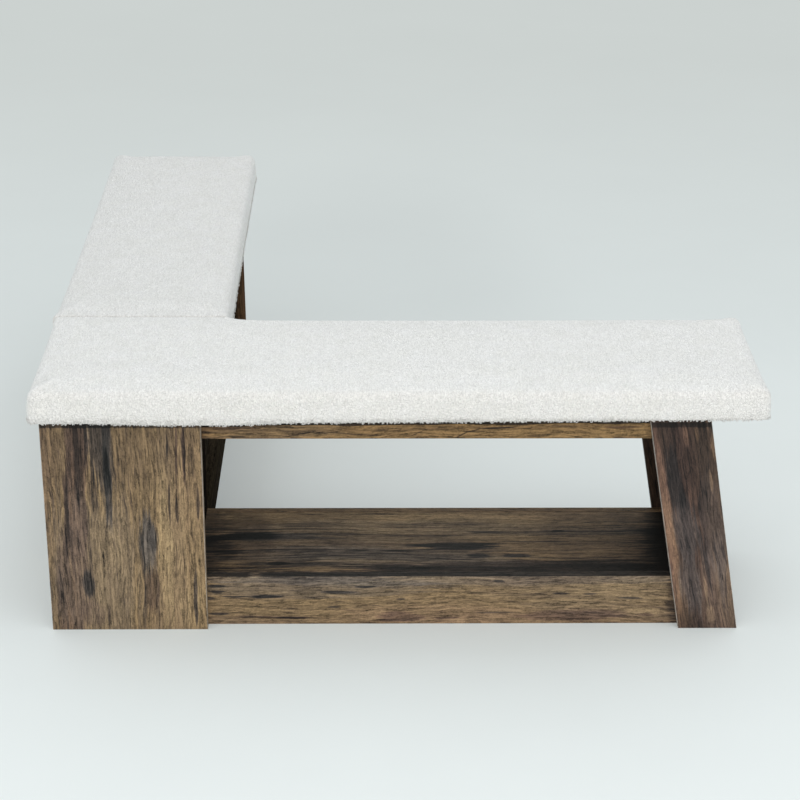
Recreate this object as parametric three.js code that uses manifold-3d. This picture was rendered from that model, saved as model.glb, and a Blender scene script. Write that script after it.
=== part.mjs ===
import * as THREE from 'three';
import * as BufferGeometryUtils from 'three/addons/utils/BufferGeometryUtils.js';
import Module from 'manifold-3d';

// Corner storage bench: an L-shaped base of printed boards with two upholstered seat pads
// Millimetres, Z up. X runs along the front arm and Y along the left arm, from the outer corner
// Each arm is built in a frame of its own: x along the arm, y across it, z up

const wasm = await Module();
wasm.setup();

// Base
const baseHeight = 406;
const frontArmLength = 1196;
const frontArmWidth = 302;
const leftArmLength = 1278;
const leftArmWidth = 270;

// Boards
const faceBoard = 18;
const frameBoard = 18;
const edgeEase = 0.8;
const fitGap = 0.3;

// Leaning end legs
const legWidth = 103;
const splayDegrees = 9.85;

// Rails, aprons and shelf
const railHeight = 94;
const apronHeight = 47.5;
const shelfThickness = 18;

// Supports under the shelf
const cleatSide = 20;
const supportThickness = 18;
const supportPlaceShare = 0.5;

// Battens under the seat
const battenWidth = 60;
const battenThickness = 18;
const battenPlaceShares = [0.12, 0.5, 0.88];

// Seat pads
const padThickness = 53.5;
const padCrown = 5;
const outerOverhang = 22;
const frontPadBackOverhang = 26;
const leftPadInnerOverhang = 34;
const padEndOverhang = 32;
const padSeamGap = 0.8;
const padCornerRadius = 18;
const padSideDraw = 2;
const padTuck = 8;
const padShoulder = 20;
const padLeastRadius = 1;
const padCornerSteps = 4;
const padLongSteps = 12;
const padShortSteps = 5;
const padCrownSteps = 4;

// Section of a pad's side: shares of the tuck and of the height below the shoulder, then
// shares of the shoulder's inset and of its rise
const padFlankShares = [[1, 0], [0.45, 0.22], [0.1, 0.6], [0, 1]];
const padShoulderShares = [[0.1, 0.36], [0.38, 0.75], [1, 1]];

// Board that the pad's cover is stapled to
const padBoardThickness = 9;
const padBoardMargin = 6;

// Screws that hold the pads from below
const screwHeadRadius = 5.5;
const screwHeadHeight = 3;
const screwShankRadius = 2.5;
const screwTipLength = 2;
const screwCover = 2;
const screwClearance = 0.4;
const screwPlaceShares = [0.2, 0.8];
const screwSides = 12;
const holeSteps = 8;

// Steel angle brackets between the rails and the corner column
const bracketLeaf = 30;
const bracketSteel = 2;
const bracketWidth = 24;
const bracketHoleRadius = 2.5;
const bracketHoleShares = [0.42, 0.78];
const bracketSides = 16;

// Overrun of a tool past the wall that it cuts
const cutOverrun = 1;

// Slope of the leaning legs, and a board's thickness measured along the floor
const quarterTurn = Math.PI / 2;
const splayAngle = THREE.MathUtils.degToRad(splayDegrees);
const splaySlope = Math.tan(splayAngle);
const leaningThickness = frameBoard / Math.cos(splayAngle);
const leaningGap = fitGap / Math.cos(splayAngle);
const apronBottom = baseHeight - apronHeight;
const shelfBottom = railHeight - shelfThickness;
const cleatTop = shelfBottom - fitGap;

const lightPrint = new THREE.MeshStandardMaterial({ color: 0x78624a, roughness: 0.62, metalness: 0 });
const darkPrint = new THREE.MeshStandardMaterial({ color: 0x4b3a32, roughness: 0.62, metalness: 0 });
const shelfPrint = new THREE.MeshStandardMaterial({ color: 0x584a38, roughness: 0.6, metalness: 0 });
const rawWood = new THREE.MeshStandardMaterial({ color: 0xb89b72, roughness: 0.8, metalness: 0 });
const boucle = new THREE.MeshStandardMaterial({ color: 0xe8e9e6, roughness: 0.95, metalness: 0 });
const plywood = new THREE.MeshStandardMaterial({ color: 0xc2a883, roughness: 0.8, metalness: 0 });
const zincSteel = new THREE.MeshStandardMaterial({ color: 0xb4b6b8, roughness: 0.35, metalness: 1 });

function outlineShape(points) {
  return new THREE.Shape(points.map(([x, y]) => new THREE.Vector2(x, y)));
}

// A board with eased edges: the outline is full size at mid thickness
function easedExtrusion(shape, thickness) {
  const geometry = new THREE.ExtrudeGeometry(shape, {
    depth: thickness - 2 * edgeEase,
    bevelEnabled: true,
    bevelSegments: 1,
    bevelSize: edgeEase,
    bevelThickness: edgeEase,
    bevelOffset: -edgeEase,
    curveSegments: holeSteps,
  });
  return geometry.translate(0, 0, edgeEase);
}

function namedMesh(name, geometry, material) {
  const mesh = new THREE.Mesh(geometry, material);
  mesh.name = name;
  return mesh;
}

// A board drawn in the arm's side view (x, z) that fills the depth from low to high
function sideBoard(name, points, low, high, material) {
  const mesh = namedMesh(name, easedExtrusion(outlineShape(points), high - low), material);
  mesh.rotation.x = quarterTurn;
  mesh.position.y = high;
  return mesh;
}

// A board drawn in plan (x, y) that fills the height from bottom up
function flatBoard(name, shape, bottom, thickness, material) {
  const mesh = namedMesh(name, easedExtrusion(shape, thickness), material);
  mesh.position.z = bottom;
  return mesh;
}

function rectangle(x0, x1, y0, y1) {
  return [[x0, y0], [x1, y0], [x1, y1], [x0, y1]];
}

function toSolid(geometry) {
  const bare = geometry.clone();
  bare.deleteAttribute('normal');
  bare.deleteAttribute('uv');
  const merged = BufferGeometryUtils.mergeVertices(bare);
  return new wasm.Manifold(new wasm.Mesh({
    numProp: 3,
    vertProperties: new Float32Array(merged.attributes.position.array),
    triVerts: new Uint32Array(merged.index.array),
  }));
}

function toGeometry(solid) {
  const mesh = solid.getMesh();
  const geometry = new THREE.BufferGeometry();
  geometry.setAttribute('position', new THREE.BufferAttribute(mesh.vertProperties, 3));
  geometry.setIndex(new THREE.BufferAttribute(mesh.triVerts, 1));
  geometry.computeVertexNormals();
  return geometry;
}

function cutAway(geometry, tools) {
  return toGeometry(tools.reduce((solid, tool) => solid.subtract(toSolid(tool)), toSolid(geometry)));
}

// Where the inner face of an arm's leaning end panel stands at a height, less its fitting gap
function endReach(arm, height) {
  return arm.length - leaningThickness - leaningGap - splaySlope * height;
}

// A rail, apron or shelf seen from the side: square at the column, cut to the lean at the far end
function runOutline(arm, bottom, top) {
  return [
    [arm.start, bottom],
    [endReach(arm, bottom), bottom],
    [endReach(arm, top), top],
    [arm.start, top],
  ];
}

// A leaning board seen from the side, with its outer edge on the arm's end line
function leaningOutline(arm, width) {
  const shift = splaySlope * baseHeight;
  return [
    [arm.length - width, 0],
    [arm.length, 0],
    [arm.length - shift, baseHeight],
    [arm.length - width - shift, baseHeight],
  ];
}

// Depths of an arm's frame: outer and inner faces of the rails on its low and high sides
function frameDepths(arm) {
  const lowFace = faceBoard + fitGap;
  const highFace = arm.width - faceBoard - fitGap;
  return { lowFace, highFace, lowInner: lowFace + frameBoard, highInner: highFace - frameBoard };
}

function armRails(arm) {
  const { lowFace, highFace, lowInner, highInner } = frameDepths(arm);
  const rail = runOutline(arm, 0, railHeight);
  const apron = runOutline(arm, apronBottom, baseHeight);
  return [
    sideBoard(`${arm.name}_${arm.lowSide}_rail`, rail, lowFace, lowInner, lightPrint),
    sideBoard(`${arm.name}_${arm.highSide}_rail`, rail, highInner, highFace, lightPrint),
    sideBoard(`${arm.name}_${arm.lowSide}_apron`, apron, lowFace, lowInner, lightPrint),
    sideBoard(`${arm.name}_${arm.highSide}_apron`, apron, highInner, highFace, lightPrint),
  ];
}

function armLeg(arm) {
  const { lowFace, highFace } = frameDepths(arm);
  const leg = leaningOutline(arm, legWidth);
  const panel = leaningOutline(arm, leaningThickness);
  return [
    sideBoard(`${arm.legName}_${arm.lowSide}_board`, leg, 0, faceBoard, darkPrint),
    sideBoard(`${arm.legName}_${arm.highSide}_board`, leg, arm.width - faceBoard, arm.width, darkPrint),
    sideBoard(`${arm.legName}_end_panel`, panel, lowFace, highFace, darkPrint),
  ];
}

// The shelf with the two cleats that it lies on and the support under its middle
function armShelf(arm) {
  const { lowInner, highInner } = frameDepths(arm);
  const low = lowInner + fitGap;
  const high = highInner - fitGap;
  const cleat = runOutline(arm, cleatTop - cleatSide, cleatTop);
  const middle = THREE.MathUtils.lerp(arm.start, endReach(arm, railHeight), supportPlaceShare);
  const halfSupport = supportThickness / 2;
  const support = rectangle(middle - halfSupport, middle + halfSupport, 0, cleatTop);
  const lowCleat = low + cleatSide;
  const highCleat = high - cleatSide;
  return [
    sideBoard(`${arm.name}_shelf`, runOutline(arm, shelfBottom, railHeight), low, high, shelfPrint),
    sideBoard(`${arm.name}_${arm.lowSide}_shelf_cleat`, cleat, low, lowCleat, rawWood),
    sideBoard(`${arm.name}_${arm.highSide}_shelf_cleat`, cleat, highCleat, high, rawWood),
    sideBoard(`${arm.name}_shelf_support`, support, lowCleat + fitGap, highCleat - fitGap, rawWood),
  ];
}

// Middle of each batten, and of the screws in it, along and across the arm
function battenPlaces(arm) {
  const end = endReach(arm, baseHeight);
  return battenPlaceShares.map((share) => THREE.MathUtils.lerp(arm.start, end, share));
}

function screwPlaces(arm) {
  return battenPlaces(arm).flatMap((x) => screwPlaceShares.map((share) => [x, arm.width * share]));
}

function withHoles(shape, places, radius) {
  for (const [x, y] of places) {
    const hole = new THREE.Path();
    hole.absarc(x, y, radius, 0, Math.PI * 2, true);
    shape.holes.push(hole);
  }
  return shape;
}

function armBattens(arm) {
  const { lowInner, highInner } = frameDepths(arm);
  const low = lowInner + fitGap;
  const high = highInner - fitGap;
  const half = battenWidth / 2;
  return battenPlaces(arm).map((x, index) => {
    const shape = outlineShape(rectangle(x - half, x + half, low, high));
    const own = screwPlaces(arm).filter(([place]) => place === x);
    withHoles(shape, own, screwShankRadius + screwClearance);
    const bottom = baseHeight - battenThickness;
    return flatBoard(`${arm.name}_seat_batten_${index + 1}`, shape, bottom, battenThickness, rawWood);
  });
}

// Pan-head screw on the Z axis, with the top of its head at height zero
function screwGeometry(length) {
  const profile = [
    [0, -screwHeadHeight],
    [screwHeadRadius - screwHeadHeight / 2, -screwHeadHeight],
    [screwHeadRadius, -screwHeadHeight / 2],
    [screwHeadRadius, 0],
    [screwShankRadius, 0],
    [screwShankRadius, length - screwTipLength],
    [0, length],
  ].map(([radius, height]) => new THREE.Vector2(radius, height));
  return new THREE.LatheGeometry(profile, screwSides).rotateX(quarterTurn);
}

function armScrews(arm) {
  const length = battenThickness + 2 * fitGap + padBoardThickness - screwCover;
  return screwPlaces(arm).map(([x, y], index) => {
    const screw = namedMesh(`${arm.padName}_screw_${index + 1}`, screwGeometry(length), zincSteel);
    screw.position.set(x, y, baseHeight - battenThickness - fitGap);
    return screw;
  });
}

// Angle bracket: one leaf along x, one along y, upright on the Z axis, with two holes a leaf
function bracketGeometry() {
  const profile = [
    [0, 0], [bracketLeaf, 0], [bracketLeaf, bracketSteel],
    [bracketSteel, bracketSteel], [bracketSteel, bracketLeaf], [0, bracketLeaf],
  ];
  const body = new THREE.ExtrudeGeometry(outlineShape(profile), { depth: bracketWidth, bevelEnabled: false });
  const reach = bracketSteel + 2 * cutOverrun;
  const tools = bracketHoleShares.flatMap((share) => {
    const along = bracketLeaf * share;
    const drill = new THREE.CylinderGeometry(bracketHoleRadius, bracketHoleRadius, reach, bracketSides);
    const sideDrill = drill.clone().rotateZ(quarterTurn);
    return [
      drill.translate(along, bracketSteel / 2, bracketWidth / 2),
      sideDrill.translate(bracketSteel / 2, along, bracketWidth / 2),
    ];
  });
  return cutAway(body, tools);
}

// Four brackets tie an arm's rails and aprons to the column that it starts from
function armBrackets(arm) {
  const { lowInner, highInner } = frameDepths(arm);
  const corners = [
    { side: arm.lowSide, y: lowInner + fitGap, turn: 0 },
    { side: arm.highSide, y: highInner - fitGap, turn: -quarterTurn },
  ];
  const levels = [
    { level: 'lower', z: (cleatTop - cleatSide - bracketWidth) / 2 },
    { level: 'upper', z: apronBottom + (apronHeight - bracketWidth) / 2 },
  ];
  return corners.flatMap(({ side, y, turn }) => levels.map(({ level, z }) => {
    const bracket = namedMesh(`${arm.name}_${level}_${side}_bracket`, bracketGeometry(), zincSteel);
    bracket.rotation.z = turn;
    bracket.position.set(arm.start, y, z);
    return bracket;
  }));
}

// One ring of a pad in plan: a rounded rectangle, drawn in between its corners
function padRing(halfLength, halfWidth, inset) {
  const halfX = halfLength - inset;
  const halfY = halfWidth - inset;
  const radius = Math.min(Math.max(padCornerRadius - inset, padLeastRadius), halfX, halfY);
  const ring = [];
  const corners = [[1, 1], [-1, 1], [-1, -1], [1, -1]];
  corners.forEach(([signX, signY], corner) => {
    for (let step = 0; step <= padCornerSteps; step += 1) {
      const angle = quarterTurn * (corner + step / padCornerSteps);
      ring.push([
        signX * (halfX - radius) + radius * Math.cos(angle),
        signY * (halfY - radius) + radius * Math.sin(angle),
      ]);
    }
    const alongX = corner % 2 === 0;
    const steps = alongX ? padLongSteps : padShortSteps;
    for (let step = 1; step < steps; step += 1) {
      const share = step / steps;
      const bow = Math.min(padSideDraw, halfY / 2) * 4 * share * (1 - share);
      const run = 1 - 2 * share;
      ring.push(alongX
        ? [signX * (halfX - radius) * run, signY * (halfY - bow)]
        : [signX * (halfX - bow), signY * (halfY - radius) * run]);
    }
  });
  return ring;
}

// Height that the crown adds at a point of the top: none at the shoulder, most in the middle
function crownHeight(halfLength, halfWidth, x, y) {
  const along = Math.min(Math.abs(x) / (halfLength - padShoulder), 1);
  const across = Math.min(Math.abs(y) / (halfWidth - padShoulder), 1);
  return padCrown * (1 - along ** 4) * (1 - across ** 2);
}

// Rings of a pad, from the underside round the tucked side and the shoulder to its middle line
function padRings(halfLength, halfWidth) {
  const flankTop = padThickness - padShoulder;
  const side = [
    ...padFlankShares.map(([inset, rise]) => [inset * padTuck, rise * flankTop]),
    ...padShoulderShares.map(([inset, rise]) => [inset * padShoulder, flankTop + rise * padShoulder]),
  ];
  const rings = side.map(([inset, height]) => (
    padRing(halfLength, halfWidth, inset).map(([x, y]) => [x, y, height])
  ));
  for (let step = 1; step <= padCrownSteps; step += 1) {
    const inset = THREE.MathUtils.lerp(padShoulder, halfWidth, step / padCrownSteps);
    rings.push(padRing(halfLength, halfWidth, inset).map(([x, y]) => (
      [x, y, padThickness + crownHeight(halfLength, halfWidth, x, y)]
    )));
  }
  return rings;
}

// Closed, crowned pad about its own middle: the first ring is filled and quads join the rings,
// up to the last, which closes on itself along the middle line
function padBody(halfLength, halfWidth) {
  const rings = padRings(halfLength, halfWidth);
  const count = rings[0].length;
  const contour = rings[0].map(([x, y]) => new THREE.Vector2(x, y));
  const index = THREE.ShapeUtils.triangulateShape(contour, []).flatMap(([a, b, c]) => [a, c, b]);
  for (let ring = 0; ring < rings.length - 1; ring += 1) {
    for (let point = 0; point < count; point += 1) {
      const next = (point + 1) % count;
      const [a, b] = [ring * count + point, ring * count + next];
      index.push(a, b, b + count, a, b + count, a + count);
    }
  }
  const geometry = new THREE.BufferGeometry();
  geometry.setAttribute('position', new THREE.Float32BufferAttribute(rings.flat(2), 3));
  geometry.setIndex(index);
  return withoutSlivers(BufferGeometryUtils.mergeVertices(geometry));
}

// Drops the triangles that lost a corner when meeting points were merged
function withoutSlivers(geometry) {
  const kept = [];
  for (let corner = 0; corner < geometry.index.count; corner += 3) {
    const [a, b, c] = [0, 1, 2].map((step) => geometry.index.getX(corner + step));
    if (a !== b && b !== c && c !== a) kept.push(a, b, c);
  }
  geometry.setIndex(kept);
  return geometry;
}

// The pad, with the pocket in its underside that its board fills, and the board
function armPad(arm) {
  const { x0, x1, y0, y1 } = arm.pad;
  const bottom = baseHeight + fitGap;
  const inset = padTuck + padBoardMargin;
  const pocketDepth = padBoardThickness + fitGap + cutOverrun;
  const pocket = new THREE.BoxGeometry(
    x1 - x0 - 2 * inset + 2 * fitGap, y1 - y0 - 2 * inset + 2 * fitGap, pocketDepth,
  ).translate(0, 0, pocketDepth / 2 - cutOverrun);
  const pad = namedMesh(arm.padName, cutAway(padBody((x1 - x0) / 2, (y1 - y0) / 2), [pocket]), boucle);
  pad.position.set((x0 + x1) / 2, (y0 + y1) / 2, bottom);
  const shape = outlineShape(rectangle(x0 + inset, x1 - inset, y0 + inset, y1 - inset));
  withHoles(shape, screwPlaces(arm), screwShankRadius + screwClearance);
  return [pad, flatBoard(`${arm.padName}_board`, shape, bottom, padBoardThickness, plywood)];
}

function buildArm(arm) {
  const group = new THREE.Group();
  group.add(
    ...armRails(arm), ...armLeg(arm), ...armShelf(arm), ...armBattens(arm),
    ...armScrews(arm), ...armBrackets(arm), ...armPad(arm),
  );
  return group;
}

// The corner column: two face panels outside and two dividers that the arms start from
function buildColumn() {
  const face = faceBoard + fitGap;
  const right = leftArmWidth - face;
  const back = frontArmWidth - face;
  const upright = (start, end) => rectangle(start, end, 0, baseHeight);
  const backSpan = upright(face, right - frameBoard - fitGap);
  const group = new THREE.Group();
  group.add(
    sideBoard('corner_front_panel', upright(0, leftArmWidth), 0, faceBoard, lightPrint),
    sideBoard('corner_back_divider', backSpan, back - frameBoard, back, darkPrint),
  );
  // A quarter turn lays x along the left arm and y towards the left
  const turned = new THREE.Group();
  turned.rotation.z = quarterTurn;
  turned.add(
    sideBoard('corner_side_panel', upright(face, frontArmWidth), -faceBoard, 0, lightPrint),
    sideBoard('corner_right_divider', upright(face, back), -right, frameBoard - right, darkPrint),
  );
  group.add(turned);
  return group;
}

const frontPadBack = frontArmWidth + frontPadBackOverhang;

const frontArm = {
  name: 'front_arm', legName: 'right_leg', padName: 'front_seat_pad',
  lowSide: 'front', highSide: 'rear',
  length: frontArmLength, width: frontArmWidth, start: leftArmWidth - faceBoard,
  pad: {
    x0: -outerOverhang, x1: frontArmLength + padEndOverhang,
    y0: -outerOverhang, y1: frontPadBack,
  },
};

const leftArm = {
  name: 'left_arm', legName: 'far_leg', padName: 'left_seat_pad',
  lowSide: 'inner', highSide: 'outer',
  length: leftArmLength, width: leftArmWidth, start: frontArmWidth - faceBoard,
  pad: {
    x0: frontPadBack + padSeamGap, x1: leftArmLength + padEndOverhang,
    y0: -leftPadInnerOverhang, y1: leftArmWidth + outerOverhang,
  },
};

const leftGroup = buildArm(leftArm);
leftGroup.rotation.z = quarterTurn;
leftGroup.position.x = leftArmWidth;

// The origin lies on the floor under the middle of the whole bench
const bench = new THREE.Group();
bench.add(buildColumn(), buildArm(frontArm), leftGroup);
bench.position.set(
  -(frontArm.pad.x0 + frontArm.pad.x1) / 2,
  -(frontArm.pad.y0 + leftArm.pad.x1) / 2,
  0,
);

export default bench;
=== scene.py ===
"""Looks of the corner storage bench: printed boards, looped-fleece seat pads, fittings and a plain studio.

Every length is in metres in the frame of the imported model. X runs along the front arm, Y along the
left arm and Z is up, with the origin on the floor under the middle of the bench.
"""

import logging
import math
from dataclasses import dataclass, field
from enum import Enum
from typing import Any, Callable, Mapping, Sequence

import bmesh
import bpy
import numpy as np
from mathutils import Matrix, Vector


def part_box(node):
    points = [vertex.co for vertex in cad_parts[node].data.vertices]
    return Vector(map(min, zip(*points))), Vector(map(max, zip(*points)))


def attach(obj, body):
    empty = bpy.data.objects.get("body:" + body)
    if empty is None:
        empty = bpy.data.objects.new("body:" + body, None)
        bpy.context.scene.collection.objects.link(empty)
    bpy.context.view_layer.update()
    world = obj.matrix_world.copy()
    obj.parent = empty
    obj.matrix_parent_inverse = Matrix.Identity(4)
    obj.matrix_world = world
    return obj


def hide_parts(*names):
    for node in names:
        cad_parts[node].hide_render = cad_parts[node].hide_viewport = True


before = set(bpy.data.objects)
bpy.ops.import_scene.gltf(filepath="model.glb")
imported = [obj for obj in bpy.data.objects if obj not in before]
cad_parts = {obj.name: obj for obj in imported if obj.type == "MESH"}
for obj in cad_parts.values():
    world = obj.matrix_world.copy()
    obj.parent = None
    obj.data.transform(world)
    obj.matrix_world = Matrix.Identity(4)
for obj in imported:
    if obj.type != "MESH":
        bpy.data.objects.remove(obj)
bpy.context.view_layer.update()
ROOT_BODY = "root"

LOG = logging.getLogger("corner_bench")

# Slope of the leaning legs and end panels, in metres sideways per metre of height
LEAN_ANGLE = math.radians(9.85)
LEAN_SLOPE = math.tan(LEAN_ANGLE)

Colour = tuple[float, float, float, float]
Triple = tuple[float, float, float]

# The frame's three directions
X = (1.0, 0.0, 0.0)
Y = (0.0, 1.0, 0.0)
Z = (0.0, 0.0, 1.0)


def paint(red: int, green: int, blue: int) -> Colour:
    """Turns a screen colour into the linear colour that a shader takes.

    Args:
        red: Red from 0 to 255.
        green: Green from 0 to 255.
        blue: Blue from 0 to 255.

    Returns:
        The linear red, green and blue with full alpha.
    """
    parts = np.array([red, green, blue]) / 255.0
    linear = np.where(parts <= 0.04045, parts / 12.92, ((parts + 0.055) / 1.055) ** 2.4)
    return (float(linear[0]), float(linear[1]), float(linear[2]), 1.0)


# Shader expressions

# Factors on a seed, by which it shifts a pattern along its three parts
SEED_SHIFT = (1.0, 0.37, 0.71)


def math_method(operation: str, mirrored: bool = False) -> Callable[..., "Term"]:
    """Makes a method of Term that adds one Math node.

    Args:
        operation: Blender's name of the operation.
        mirrored: Whether the term itself comes last, as on the right of an operator.

    Returns:
        The method, which takes the operation's other values and returns its result.
    """

    def method(term: "Term", *others: "Term | float") -> "Term":
        """Adds the node."""
        values = (*others, term) if mirrored else (term, *others)
        return term.tree.node("ShaderNodeMath", {"operation": operation}, dict(enumerate(values)))

    return method


class Term:
    """A value that varies over a surface. Arithmetic on it adds Math nodes to its tree."""

    def __init__(self, tree: "NodeTree", socket: bpy.types.NodeSocket) -> None:
        """Wraps one output socket of a node in a tree."""
        self.tree = tree
        self.socket = socket

    __add__ = math_method("ADD")
    __radd__ = math_method("ADD", mirrored=True)
    __sub__ = math_method("SUBTRACT")
    __rsub__ = math_method("SUBTRACT", mirrored=True)
    __mul__ = math_method("MULTIPLY")
    __rmul__ = math_method("MULTIPLY", mirrored=True)
    __truediv__ = math_method("DIVIDE")
    __pow__ = math_method("POWER")
    __abs__ = math_method("ABSOLUTE")

    # The smaller and the larger of two values
    at_most = math_method("MINIMUM")
    at_least = math_method("MAXIMUM")

    def rise(self, low: float, high: float) -> "Term":
        """Soft step from 0 to 1.

        Args:
            low: The value at which the step starts.
            high: The value at which it has ended. It may be below low, and the step then falls.

        Returns:
            The step, with a smooth start and end.
        """
        settings = {"interpolation_type": "SMOOTHSTEP"}
        return self.tree.node("ShaderNodeMapRange", settings, {0: self, 1: low, 2: high, 3: 0.0, 4: 1.0})

    def part(self, name: str) -> "Term":
        """Another output of the same node, by its name."""
        return Term(self.tree, self.socket.node.outputs[name])


class NodeTree:
    """The node tree of a material or of the world."""

    def __init__(self, owner: bpy.types.Material | bpy.types.World) -> None:
        """Takes the tree and empties it.

        Args:
            owner: The new material or world.
        """
        owner.use_nodes = True
        self.nodes = owner.node_tree.nodes
        self.links = owner.node_tree.links
        self.nodes.clear()

    def node(
        self,
        kind: str,
        settings: Mapping[str, Any] | None = None,
        sockets: Mapping[Any, Any] | None = None,
        output: int | str = 0,
    ) -> Term:
        """Adds any node.

        Args:
            kind: Blender's name of the node's type.
            settings: The node's own properties, set before its sockets. The stops of a colour
                ramp are given as stops, a list of places and colours.
            sockets: Values or terms for its inputs, by name or number.
            output: The name or number of the output that is wanted.

        Returns:
            That output as a term.
        """
        made = self.nodes.new(kind)
        for key, value in (settings or {}).items():
            if key == "stops":
                self._set_stops(made.color_ramp, value)
            else:
                setattr(made, key, value)
        for key, value in (sockets or {}).items():
            if isinstance(value, Term):
                self.links.new(value.socket, made.inputs[key])
            else:
                made.inputs[key].default_value = value
        return Term(self, made.outputs[output])

    @staticmethod
    def _set_stops(ramp: bpy.types.ColorRamp, stops: Sequence[tuple[float, Colour]]) -> None:
        """Fills a colour ramp.

        Args:
            ramp: The ramp, as new, with its two stops.
            stops: Places from 0 to 1 with their colours, in rising order.
        """
        while len(ramp.elements) < len(stops):
            ramp.elements.new(1.0)
        for element, (place, colour) in zip(ramp.elements, stops):
            element.position = place
            element.color = colour

    def seen(self) -> Term:
        """1 for rays of the camera, also by a mirror or through glass, and 0 for other light."""
        rays = self.node("ShaderNodeLightPath", output="Is Camera Ray")
        return rays.at_least(rays.part("Is Glossy Ray")).at_least(rays.part("Is Transmission Ray"))


class ShaderTree(NodeTree):
    """The node tree of one material, with its Principled shader."""

    def __init__(self, name: str) -> None:
        """Makes a material with a bare shader.

        Args:
            name: The material's name.
        """
        self.material = bpy.data.materials.new(name)
        super().__init__(self.material)
        self.shader = self.nodes.new("ShaderNodeBsdfPrincipled")
        self.output = self.nodes.new("ShaderNodeOutputMaterial")
        self.links.new(self.shader.outputs[0], self.output.inputs["Surface"])

    def ramp(self, value: Term, stops: Sequence[tuple[float, Colour]]) -> Term:
        """Colour that a value picks from a row of stops."""
        return self.node("ShaderNodeValToRGB", {"stops": stops}, {"Fac": value})

    def blend(self, share: Term | float, first: Any, second: Any, mode: str = "MIX") -> Term:
        """Mixes two colours.

        Args:
            share: How much of the second colour there is, from 0 to 1.
            first: The first colour or term.
            second: The second colour or term.
            mode: Blender's name of the way of mixing.

        Returns:
            The mixed colour.
        """
        settings = {"data_type": "RGBA", "blend_type": mode, "clamp_factor": True}
        return self.node("ShaderNodeMix", settings, {0: share, 6: first, 7: second}, output=2)

    def vector(self, x: Term | float, y: Term | float, z: Term | float) -> Term:
        """Vector made of three values."""
        return self.node("ShaderNodeCombineXYZ", None, {0: x, 1: y, 2: z})

    def scaled(self, place: Term, scale: Sequence[float], shift: Sequence[float]) -> Term:
        """Stretches and shifts a place.

        Args:
            place: The place, as a vector.
            scale: Factors along its three parts.
            shift: What is added after that.

        Returns:
            The new place.
        """
        settings = {"operation": "MULTIPLY_ADD"}
        return self.node("ShaderNodeVectorMath", settings, {0: place, 1: scale, 2: shift})

    def seeded(self, place: Term, scale: Sequence[float], seed: float) -> Term:
        """Place for a pattern, stretched by a scale and shifted by a seed of its own."""
        return self.scaled(place, scale, tuple(part * seed for part in SEED_SHIFT))

    def noise(
        self,
        place: Term,
        scale: Sequence[float],
        seed: float,
        detail: float = 2.0,
        roughness: float = 0.5,
    ) -> Term:
        """Cloudy noise about one half.

        Args:
            place: The place, as a vector in metres.
            scale: Waves per metre along its three parts.
            seed: A shift that gives each use its own pattern.
            detail: Octaves that are added.
            roughness: Share that each octave keeps.

        Returns:
            The noise from 0 to 1.
        """
        moved = self.seeded(place, scale, seed)
        sockets = {"Vector": moved, "Scale": 1.0, "Detail": detail, "Roughness": roughness}
        return self.node("ShaderNodeTexNoise", {"noise_dimensions": "3D"}, sockets)

    def cells(self, place: Term, scale: float, output: str = "Distance") -> Term:
        """Pattern of random cells.

        Args:
            place: The place, as a vector.
            scale: Cells for each unit of it.
            output: What is wanted: the distance to a cell's middle, or its colour.

        Returns:
            That output.
        """
        sockets = {"Vector": place, "Scale": scale, "Randomness": 1.0}
        return self.node("ShaderNodeTexVoronoi", {"feature": "F1"}, sockets, output=output)

    def flecks(self, place: Term, scale: Sequence[float], seed: float) -> Term:
        """Random greys about one half, one for each cell, with a place and scale as for noise."""
        return self.cells(self.seeded(place, scale, seed), 1.0, "Color")

    def object_place(self) -> Term:
        """Object coordinates, which are the frame's own metres."""
        return self.node("ShaderNodeTexCoord", output="Object")

    def dot(self, vector: Term, direction: Sequence[float]) -> Term:
        """Dot product of a vector with a fixed direction."""
        settings = {"operation": "DOT_PRODUCT"}
        return self.node("ShaderNodeVectorMath", settings, {0: vector, 1: direction}, output="Value")

    def turned(self, place: Term, directions: Sequence[Sequence[float]]) -> Term:
        """Vector of the dot products of a place with three directions."""
        return self.vector(*(self.dot(place, direction) for direction in directions))

    def facing(self, direction: Sequence[float]) -> Term:
        """How squarely the surface faces a fixed direction, whatever the side: 1 is square on."""
        return abs(self.dot(self.node("ShaderNodeNewGeometry", output="True Normal"), direction))

    def finish(
        self,
        colour: Term | Colour,
        roughness: Term | float,
        height: Term | None = None,
        depth: float = 0.0,
        constants: Mapping[str, Any] | None = None,
    ) -> bpy.types.Material:
        """Joins the results to the shader.

        Args:
            colour: The base colour.
            roughness: The roughness.
            height: The relief for the bump, from 0 to 1.
            depth: The height in metres that a relief of 1 stands for.
            constants: Values that are the same all over, set on the shader's own sockets.

        Returns:
            The finished material.
        """
        inputs = self.shader.inputs
        for name, value in (("Base Color", colour), ("Roughness", roughness)):
            if isinstance(value, Term):
                self.links.new(value.socket, inputs[name])
            else:
                inputs[name].default_value = value
        for name, value in (constants or {}).items():
            inputs[name].default_value = value
        if height is not None:
            bump = self.node("ShaderNodeBump", None, {"Strength": 1.0, "Distance": depth, "Height": height})
            self.links.new(bump.socket, inputs["Normal"])
        return self.material


# Printed boards


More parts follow.
